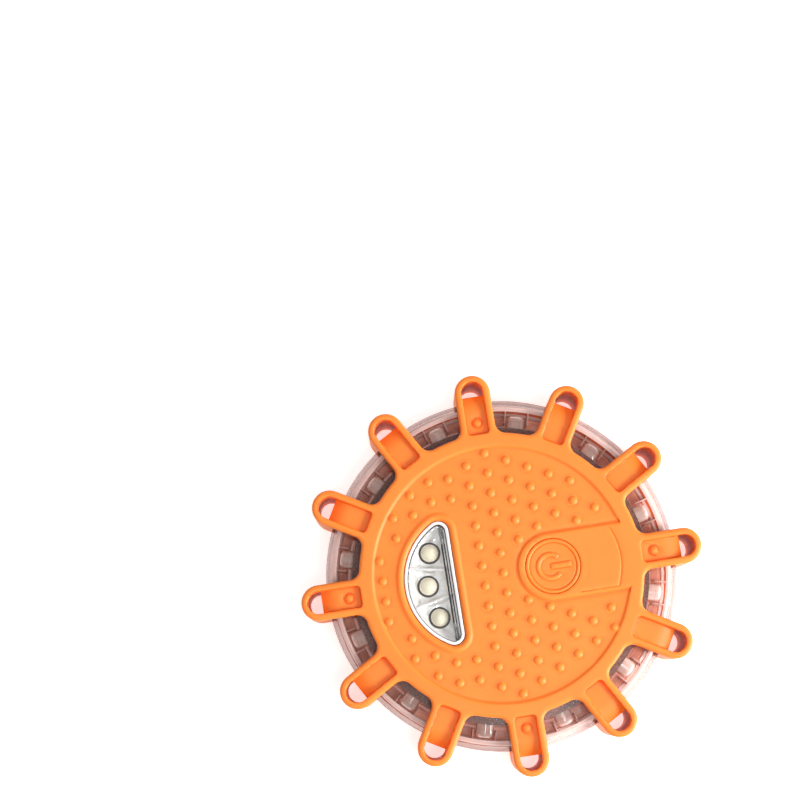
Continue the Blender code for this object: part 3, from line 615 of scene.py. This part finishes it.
# The case floor's orange-brown colour is painted light: orange bounce from the rubber and shade under the
# case.
FLOOR_PAINTED_BOUNCE = clear("case_floor_painted_bounce", (1.0, 0.42, 0.27), 0.8, 0.97, 0.25, 0.0)
LENS = clear("clear_lens", (0.98, 0.98, 1.0), 0.02, 0.6, 0.03)
LENS_RIM = clear("lens_rim", (0.97, 0.96, 0.96), 0.75, 0.95, 0.1)
RESIN = clear("tinted_resin", (1.0, 0.8, 0.73), 0.66, 0.97, 0.05, 1.0)
WHITE_RESIN = clear("clear_resin", (0.95, 0.93, 0.82), 0.1, 0.8, 0.05, 1.0)
CHROME = metal("chrome", (1.0, 1.0, 1.0), 0.07, mirror=0.3)
STEEL = metal("nickel_steel", (0.72, 0.71, 0.69), 0.28)
SEAL = plastic("seal_rubber", (0.85, 0.13, 0.03), 0.5)
BOARD = board_material()
BLACK = plastic("black_plastic", (0.025, 0.024, 0.024), 0.42)
PHOSPHOR = plastic("phosphor", (1.0, 0.96, 0.74), 0.5)
SLEEVE = plastic("cell_sleeve", (0.03, 0.05, 0.09), 0.3, 0.4)
RED_WIRE = plastic("red_wire", (0.6, 0.02, 0.02), 0.45)
BLACK_WIRE = plastic("black_wire", (0.02, 0.02, 0.02), 0.45)


# --- upper and lower bumper -------------------------------------------------------------------

OUTLINE = bumper_outline()
SLOT = slot_outline()
TONGUE = tongue_outline()
TONGUE_AREA = TONGUE + [(DISC_RADIUS + 3, -TONGUE_HALF), (DISC_RADIUS + 3, TONGUE_HALF)]
MOON = moon_outline()
PANEL = panel_line()
HALF_WAY = len(OUTLINE) // 2
NEAR_FINGER = [(x, y) for x, y in OUTLINE[HALF_WAY:] + OUTLINE[:HALF_WAY]
               if abs(math.atan2(y, x)) < STEP * 0.55]


def dot_places():
    """The grid of raised dots, kept off the collar, the tongue and the disc's edge."""
    pitch_x, pitch_y = 5.47, 5.5
    found = []
    for i in range(-6, 7):
        half_step = i % 2 if i > -3 else i < -3
        for k in range(-7, 8):
            x, y = 0.5 + pitch_x * i, 0.3 + pitch_y * (k + 0.5 * half_step)
            if math.hypot(x, y) < DISC_RADIUS - 1.3:
                found.append((x, y))
    x, y = np.array(found).T
    clear_of = (depth_in(x, y, moon_outline(COLLAR)) < -0.9) & (depth_in(x, y, TONGUE_AREA) < -1.3)
    return np.array(found)[clear_of]


def slot_height(u):
    """The slot's floor, which follows the shoulder of the case down to the through hole."""
    share = np.clip((u - SADDLE_START) / (HOLE_INNER - SADDLE_START), 0, 1)
    return -SLOT_DEPTH - SADDLE_DROP * share**2


def finger_relief(x, y, studs):
    """The drop below the top face from the outer edge, the slots and the studs."""
    u, v, which = folded(x, y)
    edge = line_distance(u, v, NEAR_FINGER, closed=False)
    drop = -rounding(edge, EDGE_ROUND)
    near = (np.abs(v) < 5) & (u > 36)
    slot = np.full(x.shape, -9.0)
    slot[near] = depth_in(u[near], v[near], SLOT)
    drop = np.where(slot <= 0, np.minimum(drop, -rounding(-slot, SLOT_EDGE_ROUND)), drop)
    floor = slot_height(u) + rounding(slot, SLOT_FLOOR_ROUND)
    if studs:
        away = np.hypot(u - STUD_RADIUS, v)
        axis = which % 3 == 0
        floor = np.where(axis & (away < STUD_WELL), floor - 0.18, floor)
        nub = STUD_HEIGHT * np.sqrt(np.clip(1 - (away / STUD_SIZE) ** 2, 0, 1))
        floor = np.where(axis & (away < STUD_SIZE), floor + nub, floor)
    return np.where(slot > 0.02, floor, drop)


def case_below(x, y, gap_face, seam):
    """The under side of a bumper half: the case's shoulder inside, the seam face outside."""
    r = np.hypot(x, y)
    t = np.clip((r - CASE_SPACE + SHOULDER_ROUND) / SHOULDER_ROUND, 0, 1)
    inner = gap_face - SHOULDER_ROUND * (1 - np.sqrt(np.maximum(1 - t**2, 0)))
    edge = line_distance(*folded(x, y)[:2], NEAR_FINGER, closed=False)
    return np.where(r < CASE_SPACE - 0.1, inner, seam + rounding(edge, SEAM_ROUND))


def shared_lines(studs):
    lines = [(bumper_outline(d), True) for d in (0.06, 0.2, 0.45, EDGE_ROUND)]
    lines += [(circle(CASE_SPACE - d, 240), True) for d in (SHOULDER_ROUND, 0.7, 0.2, 0)]
    for i in range(FINGERS):
        for grow in (SLOT_EDGE_ROUND, 0.17, 0.05, 0.0):
            lines.append((turned_points(slot_outline(grow), i * STEP), True))
        for grow in (-0.04, -0.15, -0.3, -SLOT_FLOOR_ROUND):
            inner = [p for p in slot_outline(grow) if p[0] < HOLE_INNER - 0.02]
            inner = [(HOLE_INNER, SLOT_HALF + grow)] + inner + [(HOLE_INNER, -SLOT_HALF - grow)]
            lines.append((turned_points(inner, i * STEP), False))
        for u in np.linspace(SADDLE_START, HOLE_INNER, 7)[:-1]:
            across = [(u, y) for y in np.linspace(-2.5, 2.5, 11)]
            lines.append((turned_points(across, i * STEP), False))
        if studs and i % 3 == 0:
            for radius in (STUD_WELL, STUD_WELL - 0.05, STUD_SIZE, 1.12, 0.9, 0.55):
                lines.append((turned_points(circle(radius, 24, (STUD_RADIUS, 0)), i * STEP), True))
    return lines


def holes_round():
    """The twelve through holes, one near each finger's tip."""
    return [turned_points(hole_outline(), i * STEP) for i in range(FINGERS)]


DOTS = dot_places()


def dot_height(away):
    """A cap of a ball, DOT_RADIUS wide at its foot and DOT_HEIGHT high."""
    ball = (DOT_RADIUS**2 + DOT_HEIGHT**2) / (2 * DOT_HEIGHT)
    return np.where(away < DOT_RADIUS, np.sqrt(np.maximum(ball**2 - away**2, 0)) - ball + DOT_HEIGHT, 0)


def upper_height(x, y):
    """The upper bumper's top: fingers, sunken disc, dots, collar, tongue and the lines on it."""
    z = finger_relief(x, y, True)
    r = np.hypot(x, y)
    core = r < DISC_RADIUS + 0.6
    cx, cy, cr = x[core], y[core], r[core]
    collar = depth_in(cx, cy, MOON) + COLLAR
    tongue = depth_in(cx, cy, TONGUE_AREA)
    recess = np.minimum(DISC_RADIUS - cr, -tongue)
    low = -DISC_DEPTH * smooth(recess / DISC_EDGE)
    bead = np.clip(collar / COLLAR, 0, 1)
    low = np.where(collar > 0, -DISC_DEPTH * (1 - 0.8 * smooth(np.minimum(bead, 1 - bead) / 0.42)), low)
    away = np.full(cx.shape, 9.0)
    for px, py in DOTS:
        away = np.minimum(away, np.hypot(cx - px, cy - py))
    low += dot_height(away)
    rim_line = line_distance(cx, cy, TONGUE, closed=False)
    groove = np.where(cr < DISC_RADIUS - 0.1, GROOVE_DEPTH * (1 - smooth(rim_line / GROOVE_HALF)), 0)
    dip = 0.1 * smooth(tongue / 1.2) * smooth((DISC_RADIUS - cr) / 4)
    low = np.where(tongue > 0, low - dip, low) - groove
    panel = line_distance(cx, cy, PANEL, closed=False)
    low -= PANEL_DEPTH * (1 - smooth(panel / 0.2))
    arc_line = np.abs(np.hypot(cx - BUTTON_X, cy) - PANEL_ARC)
    arc_line = np.where((np.abs(cy) < 5) & (cx > BUTTON_X), arc_line, 9.0)
    low -= ARC_DEPTH * (1 - smooth(arc_line / 0.3))
    hole = np.hypot(cx - BUTTON_X, cy) - BUTTON_RADIUS - GAP
    low -= rounding(hole, 0.3)
    low -= rounding(-depth_in(cx, cy, MOON) - GAP, 0.3)
    z[core] = np.minimum(z[core], low)
    return z + HEIGHT


def upper_bumper():
    """The upper half, with an opening for the torch window and one for the power button."""
    holes = holes_round()
    holes.append(moon_outline(GAP))
    holes.append(circle(BUTTON_RADIUS + GAP, 96, (BUTTON_X, 0)))
    lines = shared_lines(True)
    collar_lines = (0.17, 0.37, 0.65, 0.95, 1.35, 1.6, 1.82, 2.05, COLLAR, COLLAR + 0.25)
    lines += [(moon_outline(g), True) for g in collar_lines]
    lines += [(tongue_outline(g), False) for g in (-0.75, -0.55, -0.35, -0.15, 0.15, 0.35, 0.55, 0.75)]
    edge_lines = (0.0, 0.15, 0.32, 0.48, 0.64, 0.8, DISC_EDGE, 1.15)
    lines += [(circle(DISC_RADIUS - g, 300), True) for g in edge_lines]
    lines += [(panel_line(g), False) for g in (-0.2, -0.1, 0.0, 0.1, 0.2)]
    lines += [(circle(BUTTON_RADIUS + GAP + g, 96, (BUTTON_X, 0)), True) for g in (0.08, 0.3)]
    for px, py in DOTS:
        lines += [(circle(radius, 20, (px, py)), True) for radius in (DOT_RADIUS, 1.08, 0.85, 0.6, 0.3)]
    mesh = relief(OUTLINE, holes, lines, 0.62, upper_height,
                  lambda x, y: case_below(x, y, CASE_TOP + CASE_GAP, SEAM_UPPER))
    made = piece("bumper_upper", mesh, "housing", [ORANGE])
    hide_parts("top_bumper")


def lower_bumper():
    """The same fingers turned over, round the opening for the battery cover."""
    holes = holes_round() + [circle(OPENING, 180)]
    lines = shared_lines(False)
    lines += [(circle(OPENING + g, 180), True) for g in (0.1, 0.35, OPENING_ROUND)]

    def top(x, y):
        z = finger_relief(x, y, False)
        return np.minimum(z, -rounding(np.hypot(x, y) - OPENING, OPENING_ROUND))

    mesh = relief(OUTLINE, holes, lines, 0.9, top,
                  lambda x, y: case_below(x, y, -CASE_BOTTOM + CASE_GAP, -SEAM_LOWER), flip=True)
    made = piece("bumper_lower", mesh, "housing", [ORANGE])
    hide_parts("bottom_bumper")


# --- clear case -------------------------------------------------------------------------------

def paint(mesh, index, wanted):
    """Gives a second material to the faces whose middle, in millimetres, a test accepts."""
    for face in mesh.polygons:
        x, y, z = face.center / MM
        if wanted(math.hypot(x, y), z, abs(face.normal.z)):
            face.material_index = index


def rib_block(work, low, high, turn):
    """A thin upright rib with softened edges, turned round the axis."""
    size = Vector(high) - Vector(low)
    made = bmesh.ops.create_cube(work, size=MM)["verts"]
    bmesh.ops.scale(work, vec=size, verts=made)
    bmesh.ops.translate(work, vec=(Vector(low) + Vector(high)) / 2 * MM, verts=made)
    edges = list({edge for vert in made for edge in vert.link_edges})
    soft = bmesh.ops.bevel(work, geom=edges, offset=0.12 * MM, segments=1, affect="EDGES")["verts"]
    every = list({*(v for v in made if v.is_valid), *soft})
    bmesh.ops.rotate(work, cent=(0, 0, 0), matrix=Matrix.Rotation(turn, 3, "Z"), verts=every)


def lower_case_mesh():
    """The ring under the lamps with its ribs, and the floor round the battery well."""
    outer, inner, flange, start = CASE_RADIUS, CASE_RADIUS - CASE_WALL, CASE_RADIUS - CASE_FLANGE, 34.0
    floor = CASE_BOTTOM + CASE_WALL
    low = [(start, floor), (41.5, floor), (41.5, 8.6), (42.1, 8.6), (42.1, floor), (inner, floor),
           (inner, 6.4), (flange, 7.2), (flange, SEAM_LOWER), (outer, SEAM_LOWER), (outer, CASE_BOTTOM),
           (start, CASE_BOTTOM)]
    profile = rounded(low, (0, 0.3, 0.15, 0.15, 0.3, 0.8, 0.4, 0.4, 0.2, 0.2, 1.3, 0), 6)
    mesh = revolved(profile, 192, closed=True)
    work = bmesh.new()
    work.from_mesh(mesh)
    for i in range(FINGERS):
        for y in (-3.35, 2.95):
            rib_block(work, (42.3, y, floor - 0.3), (inner + 0.2, y + 0.4, 13.6), (i + 0.5) * STEP)
    work.to_mesh(mesh)
    work.free()
    # The floor faces take the painted orange bounce colour.
    paint(mesh, 1, lambda r, z, up: up > 0.8 and z < floor + 0.2 and r < inner)
    paint(mesh, 2, lambda r, z, up: 42.2 < r < inner - 0.1 and z > floor + 0.3)

    def level(z):
        return lambda x, y: np.full(x.shape, float(z))

    opening = rounded_box(*WELL_HALF, 1.0)
    shell = rounded_box(WELL_HALF[0] + 1.2, WELL_HALF[1] + 1.2, 2.2)
    bores = [circle(1.4, 24, place) for place in COVER_SCREWS]
    plates = [relief(circle(start, 192), [opening, *bores], [], 2.5, level(floor), level(CASE_BOTTOM)),
              relief(shell, [opening], [], 2.5, level(WELL_TOP - 1), level(floor)),
              relief(shell, [], [], 2.5, level(WELL_TOP), level(WELL_TOP - 1))]
    post = rounded([(1.4, 10.5), (2.6, 10.5), (2.6, floor), (1.4, floor)], (0, 0.3, 0, 0), 3)
    posts = [placed(revolved(post, 24, closed=True), *place) for place in COVER_SCREWS]
    # The well's plates and posts take the painted orange bounce colour too.
    return joined([(mesh, None), *((part, 1) for part in plates + posts)])


def clear_case():
    """Two clear shells that meet at the seam. The upper has a pale band under its roof, painted light
    where light shows through the clear wall.
    """
    outer, inner, flange = CASE_RADIUS, CASE_RADIUS - CASE_WALL, CASE_RADIUS - CASE_FLANGE
    roof = CASE_TOP - CASE_WALL
    top = [(29.0, CASE_TOP), (outer, CASE_TOP), (outer, SEAM_UPPER), (flange, SEAM_UPPER),
           (flange, 11.2), (inner, 12.8), (inner, roof), (44.9, roof), (44.9, roof - 0.5),
           (43.1, roof - 0.5), (43.1, roof), (42.3, roof), (42.3, roof - 0.4), (41.9, roof - 0.4),
           (41.9, roof), (29.0, roof)]
    profile = rounded(top, (0, 1.3, 0.2, 0.2, 0.4, 0.4, 0.8, *(0.1,) * 8, 0), 6)
    mesh = revolved(profile, 192, closed=True)
    # Painted light: the pale band under the roof stands in for light seen through the clear outer wall.
    paint(mesh, 1, lambda r, z, up: 44.95 < r < inner + 0.1 and roof - 0.9 < z < roof + 0.1)
    made = piece("case_upper", mesh, "housing", [CLEAR_PAINTED_BOUNCE, FROST_AND_PAINTED_LIGHT])
    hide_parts("top_case")
    made = piece("case_lower", lower_case_mesh(), "housing", [CLEAR_PAINTED_BOUNCE, FLOOR_PAINTED_BOUNCE, FROST_AND_PAINTED_LIGHT])
    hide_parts("base_case")


# --- power button -----------------------------------------------------------------------------

def button_cap():
    """A bead round the edge of a shallow dish, and the power mark standing out of the dish."""
    radius = BUTTON_RADIUS
    mark_x, mark_radius, mark_half = -0.75, 3.22, 0.55
    gap_angle = math.radians(43)
    bar_low, bar_high, bar_half = 0.15, 5.7, 0.66
    face, base, dish_edge, bead_middle, line_middle = 23.62, 22.1, 6.4, 6.95, 6.35

    def mark_depth(x, y):
        mx = x - mark_x
        ring = mark_half - np.abs(np.hypot(mx, y) - mark_radius)
        gap = mark_radius * (np.abs(np.arctan2(y, mx)) - gap_angle)
        bar = np.minimum(np.minimum(mx - bar_low, bar_high - mx), bar_half - np.abs(y))
        return np.maximum(np.minimum(ring, gap), bar)

    def top(x, y):
        r = np.hypot(x, y)
        z = face - 0.1 * smooth((dish_edge - r) / 3)
        z = z + 0.24 * np.sqrt(np.clip(1 - ((r - bead_middle) / 0.5) ** 2, 0, 1))
        z = z - 0.14 * np.exp(-(((r - line_middle) / 0.14) ** 2))
        depth = mark_depth(x, y)
        z = z + 0.26 * smooth((depth + 0.16) / 0.5) - 0.07 * np.exp(-(((depth + 0.24) / 0.12) ** 2))
        return z - rounding(radius - r, 0.3)

    lines = [(circle(r, 80), True) for r in (7.42, 7.3, 7.1, 6.9, 6.7, 6.5, 6.42, 6.35, 6.25, 6.1)]
    mesh = relief(circle(radius, 96), [], lines, 0.17, top, lambda x, y: np.full(x.shape, base))
    under = [(0, 22.5), (8.4, 22.5), (8.4, 22.0), (1.8, 22.0), (1.8, 21.35), (0, 21.35)]
    flange = revolved(rounded(under, (0, 0.15, 0.15, 0.1, 0.2, 0), 3), 64)
    mesh = placed(joined([(mesh, 0), (flange, 0)]), BUTTON_X)
    made = piece("button_cap", mesh, "button", [ORANGE])
    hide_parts("power_button")


# --- torch ------------------------------------------------------------------------------------

def bowl_height(x, y):
    """Flat facets round each lamp, ribs between the pockets and grooves by the straight side."""
    groove_floor, pocket, rim, rib_top, highest = 17.75, 17.95, 20.6, 20.7, 21.1
    sector = 2 * math.pi / 11
    z = np.full(x.shape, 99.0)
    for k, (px, py) in enumerate(LED_PLACES):
        away, angle = np.hypot(x - px, y - py), np.arctan2(y - py, x - px)
        which = np.round(angle / sector)
        along = away * np.cos(angle - which * sector)
        slope = 0.15 + 0.15 * np.sin(which * 2.9 + k * 1.7)
        rise = np.maximum(along - 2.95, 0) * slope + 0.3 * np.maximum(along - 4.4, 0)
        z = np.minimum(z, pocket + rise)
    edge = depth_in(x, y, moon_outline(-REFLECTOR_INSET))
    z = np.maximum(z, rim - 1.3 * np.maximum(edge - 0.45, 0))
    for (ax, ay), (bx, by) in zip(LED_PLACES, LED_PLACES[1:]):
        middle, across = Vector(((ax + bx) / 2, (ay + by) / 2)), Vector((bx - ax, by - ay)).normalized()
        off = np.abs((x - middle.x) * across.x + (y - middle.y) * across.y)
        z = np.maximum(z, rib_top - 3.2 * np.maximum(off - 0.3, 0))
    side = MOON_SIDE - REFLECTOR_INSET - x
    for place in BOWL_GROOVES:
        z = np.where(np.abs(side - place) < BOWL_GROOVE_HALF, z - 2.2, z)
    return np.clip(z, groove_floor, highest)


def lamp_and_die(place):
    """A clear 5 mm lamp, the cream phosphor inside it and the black seat round its foot."""
    radius, foot, dome = 2.5, 16.85, 18.5
    shell = [(0, dome + radius), *arc((0, dome), radius, math.pi / 2, 0, 8)[1:], (radius, foot), (0, foot)]
    die = [(0, 20.7), (1.5, 20.4), (2.25, 19.7), (2.42, 18.6), (2.42, foot + 0.2), (0, foot + 0.2)]
    seat = [(2.52, 17.7), (2.96, 17.7), (2.96, foot), (2.52, foot)]
    parts = [(revolved(shell, 40), 0), (revolved(die, 40), 1), (revolved(seat, 40, closed=True), 2)]
    return placed(joined(parts), *place)


def torch():
    """The half-moon window with its pale border, the mirror bowl and its three lamps."""
    lens_top, lens_low, shrink, border = 23.5, 21.6, 0.1, 0.85
    bowl_base, lamp_hole = 17.6, 3.0
    lens = moon_outline(-shrink)

    def lens_height(x, y):
        depth = depth_in(x, y, lens)
        return lens_top - rounding(depth, 0.35) - 0.15 * smooth((depth - border) / 0.25)

    lines = [(moon_outline(-shrink - d), True) for d in (0.05, 0.15, 0.35, border, border + 0.25)]
    mesh = relief(lens, [], lines, 1.2, lens_height, lambda x, y: np.full(x.shape, lens_low))
    middles = np.array([tuple(face.center / MM) for face in mesh.polygons])
    depth = depth_in(middles[:, 0], middles[:, 1], lens)
    for face, inset in zip(mesh.polygons, depth):
        face.material_index = int(inset < border)
    made = piece("torch_window", mesh, "housing", [LENS, LENS_RIM])
    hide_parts("torch_lens")

    outline = moon_outline(-REFLECTOR_INSET)
    holes = [circle(lamp_hole, 48, place) for place in LED_PLACES]
    lines = [([(MOON_SIDE - REFLECTOR_INSET - d, y) for y in np.linspace(-12, 12, 40)], False)
             for d in (0.38, 0.4, 0.7, 0.72, 1.18, 1.2, 1.5, 1.52)]
    mesh = relief(outline, holes, lines, 0.33, bowl_height, lambda x, y: np.full(x.shape, bowl_base))
    # Painted shade: the bowl's grooves are painted black, standing in for dark reflections in the chrome.
    for face in mesh.polygons:
        side = MOON_SIDE - REFLECTOR_INSET - face.center.x / MM
        groove = min(abs(side - place) for place in BOWL_GROOVES) < BOWL_GROOVE_HALF
        face.material_index = int(groove and abs(face.center.y / MM) < 11)
    made = piece("torch_bowl", mesh, "housing", [CHROME, BLACK], sharp=12)
    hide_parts("torch_reflector")
    for i, place in enumerate(LED_PLACES, 1):
        made = piece(f"torch_lamp_{i}", lamp_and_die(place), "housing",
                     [WHITE_RESIN, PHOSPHOR, BLACK])
        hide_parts(f"torch_led_{i}")


# --- side lamps ---------------------------------------------------------------------------------

def side_lamps():
    """Twelve 5 mm lamps that lie pointing outwards, each with its cup and post inside."""
    length, radius, z, tip = 8.6, 2.5, 12.3, 1.1
    foot = 44.4 - length
    shell = [(0, length), *arc((radius - tip, length - tip), tip, math.pi / 2, 0, 8), (radius, 1.1),
             (2.9, 1.0), (2.9, 0.1), (2.8, 0), (0, 0)]
    cup = [(0, 4.6), (0.5, 4.6), (1.1, 5.3), (1.3, 5.3), (0.8, 4.0), (0.45, 1.0), (0, 1.0)]
    post = cup[3:]
    outwards = Matrix.Translation((foot * MM, 0, z * MM)) @ Matrix.Rotation(math.pi / 2, 4, "Y")
    for i in range(FINGERS):
        leads = [(placed(revolved(profile, 16), y=y), 1) for profile, y in ((cup, 0.9), (post, -0.9))]
        mesh = joined([(revolved(shell, 28), 0), *leads])
        mesh.transform(Matrix.Rotation((i + 0.5) * STEP, 4, "Z") @ outwards)
        made = piece(f"side_lamp_{i + 1:02d}", mesh, "housing", [RESIN, STEEL])
        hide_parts(f"side_led_{i + 1:02d}")


# --- battery cover ------------------------------------------------------------------------------

def hook_seat(grow=0.0):
    """The groove that the folded hook lies in, with a pocket at each end for its trunnions."""
    outer, inner, tail = HOOK_RADIUS + 1.2 + grow, HOOK_RADIUS - 1.2 - grow, -15.5 - grow
    pocket, high, low = 15.3 + grow, -9.9 + grow, -12.1 - grow
    found = arc((0, 0), outer, 0, math.pi, 48)
    found += [(-outer, high), (-pocket, high), (-pocket, low), (-outer, low), (-outer, tail)]
    found += [(-inner, tail), *arc((0, 0), inner, math.pi, 0, 48), (inner, tail)]
    return found + [(outer, tail), (outer, low), (pocket, low), (pocket, high), (outer, high)]


def battery_cover():
    """The round cover under the cells: grip grooves, screw wells, magnet pocket and hook seat."""
    magnet, well, bore, ring_groove = 9.3, 2.5, 1.3, 29.2
    seat_depth, pin_depth, notch_depth, magnet_depth, well_depth = 2.55, 2.7, 2.45, 2.0, 2.3
    face, plate, channel = 0.5, 3.1, 2.2
    grip_radius, grip_half, grip_step = 31.4, (1.3, 0.38), 2 * math.pi / 72
    notch = rounded_box(5.0, 1.6, 0.8, (0, HOOK_RADIUS + 1.6))
    grip_line = rounded_box(*grip_half, 0.36, (grip_radius, 0))
    grips = [turned_points(grip_line, grip_step * i) for i in range(72)]
    gasket = [rounded_box(WELL_HALF[0] + g, WELL_HALF[1] + g, 1.4 + g) for g in (0.8, 2.4)]

    def under(x, y):
        r = np.hypot(x, y)
        drop = face + rounding(COVER_RADIUS - r, 0.6)
        angle = np.round(np.arctan2(y, x) / grip_step) * grip_step
        u, v = np.cos(angle) * x + np.sin(angle) * y, np.cos(angle) * y - np.sin(angle) * x
        grip = np.minimum(grip_half[0] - np.abs(u - grip_radius), grip_half[1] - np.abs(v))
        drop += 0.35 * smooth(grip / 0.25) + 0.25 * (1 - smooth(np.abs(r - ring_groove) / 0.3))
        seat = depth_in(x, y, hook_seat())
        drop = np.where(seat > 0, seat_depth, drop + rounding(-seat, 0.4))
        drop = np.where((seat > 0) & (np.abs(y + 11) < 1.1) & (np.abs(x) > 11.9), pin_depth, drop)
        finger = depth_in(x, y, notch)
        drop = np.where((finger > 0) & (seat <= 0), notch_depth, drop)
        drop = np.where(r < magnet, magnet_depth, drop + rounding(r - magnet, 0.3))
        for px, py in COVER_SCREWS:
            away = np.hypot(x - px, y - py)
            drop = np.where(away < well, well_depth, drop + rounding(away - well, 0.4))
        return -drop

    def inside_face(x, y):
        ring = (depth_in(x, y, gasket[1]) > 0) & (depth_in(x, y, gasket[0]) < 0)
        return np.where(ring & (np.hypot(x, y) > 15), -channel, -plate)

    lines = [(circle(COVER_RADIUS - d, 180), True) for d in (0.1, 0.3, 0.6)]
    lines += [(circle(ring_groove + d, 180), True) for d in (-0.3, -0.15, 0.0, 0.15, 0.3)]
    lines += [(circle(r, 72), True) for r in (magnet - 0.05, magnet, magnet + 0.12, magnet + 0.3)]
    lines += [(hook_seat(g), True) for g in (-0.05, 0.0, 0.15, 0.4)]
    lines += [(notch, True), (gasket[0], True), (gasket[1], True)]
    lines += [(line, True) for line in grips]
    for place in COVER_SCREWS:
        lines += [(circle(r, 32, place), True) for r in (well - 0.05, well, well + 0.15, well + 0.4)]
    bores = [circle(bore, 24, place) for place in COVER_SCREWS]
    mesh = relief(circle(COVER_RADIUS, 180), bores, lines, 0.7, under, inside_face, flip=True)
    made = piece("cover", mesh, "cover", [ORANGE])
    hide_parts("battery_cover")


# --- carried-over nodes ---------------------------------------------------------------------------

def finish_nodes():
    looks = {
        "main_pcb": BOARD, "case_seal": SEAL, "cover_gasket": SEAL,
        "switch_body": BLACK, "switch_plunger": BLACK, "driver_chip": BLACK, "hanging_hook": BLACK,
        "wire_positive": RED_WIRE, "wire_negative": BLACK_WIRE,
    }
    for name, node in NODES.items():
        look = looks.get(name)
        if look is None:
            look = SLEEVE if name.startswith("cell_") and "spring" not in name else STEEL
        for slot in node.material_slots:
            slot.material = look


# --- studio ---------------------------------------------------------------------------------------

def area_light(name, place, target, size, power):
    data = bpy.data.lights.new(name, "AREA")
    data.shape = "RECTANGLE"
    data.size, data.size_y = size
    data.energy = power
    made = bpy.data.objects.new(name, data)
    made.location = place
    made.rotation_euler = (Vector(target) - Vector(place)).to_track_quat("-Z", "Y").to_euler()
    bpy.context.scene.collection.objects.link(made)


def overhead(name):
    """Soft light from straight above that fades towards the horizon, and a pale backdrop."""
    world = bpy.data.worlds.new(name)
    world.use_nodes = True
    tree = world.node_tree
    background = tree.nodes["Background"]
    background.inputs["Color"].default_value = (1, 1, 1, 1)
    place = tree.nodes.new("ShaderNodeTexCoord")
    split = tree.nodes.new("ShaderNodeSeparateXYZ")
    fade = tree.nodes.new("ShaderNodeMapRange")
    fade.interpolation_type = "SMOOTHSTEP"
    span = {"From Min": 0.2, "From Max": 0.9, "To Min": SKY_LOW, "To Max": SKY_HIGH}
    for socket, value in span.items():
        fade.inputs[socket].default_value = value
    seen = tree.nodes.new("ShaderNodeLightPath")
    choose = tree.nodes.new("ShaderNodeMix")
    choose.inputs["B"].default_value = BACKDROP
    tree.links.new(place.outputs["Generated"], split.inputs["Vector"])
    tree.links.new(split.outputs["Z"], fade.inputs["Value"])
    tree.links.new(seen.outputs["Is Camera Ray"], choose.inputs["Factor"])
    tree.links.new(fade.outputs["Result"], choose.inputs["A"])
    tree.links.new(choose.outputs["Result"], background.inputs["Strength"])
    bpy.context.scene.world = world


def studio():
    """A faintly glowing pale table, soft light from above and three area lights."""
    mesh = bpy.data.meshes.new("floor")
    half = 4.0
    low = -0.1 * MM
    corners = [(-half, -half, low), (half, -half, low), (half, half, low), (-half, half, low)]
    mesh.from_pydata(corners, [], [(0, 1, 2, 3)])
    floor = bpy.data.objects.new("floor", mesh)
    n = Nodes("table")
    shades = [(0.3, (0.86, 0.86, 0.87)), (0.7, (0.88, 0.88, 0.88))]
    n.set(color=n.ramp(n.noise(3, 2), shades), rough=0.32, emission=(1, 1, 1, 1), glow=TABLE_GLOW)
    mesh.materials.append(n.material)
    bpy.context.scene.collection.objects.link(floor)
    overhead("studio")
    for name, settings in LIGHTS.items():
        area_light(name, *settings)


def camera():
    data = bpy.data.cameras.new("camera")
    data.sensor_width = 36.0
    data.lens = CAMERA_LENS
    data.clip_start = 0.01
    made = bpy.data.objects.new("camera", data)
    made.location = CAMERA_PLACE
    made.rotation_mode = "QUATERNION"
    made.rotation_quaternion = CAMERA_TURN
    bpy.context.scene.collection.objects.link(made)
    bpy.context.scene.camera = made


upper_bumper()
lower_bumper()
clear_case()
button_cap()
torch()
side_lamps()
battery_cover()
finish_nodes()
studio()
camera()
view = bpy.context.scene.view_settings
view.view_transform = "Standard"
view.exposure = 0.0
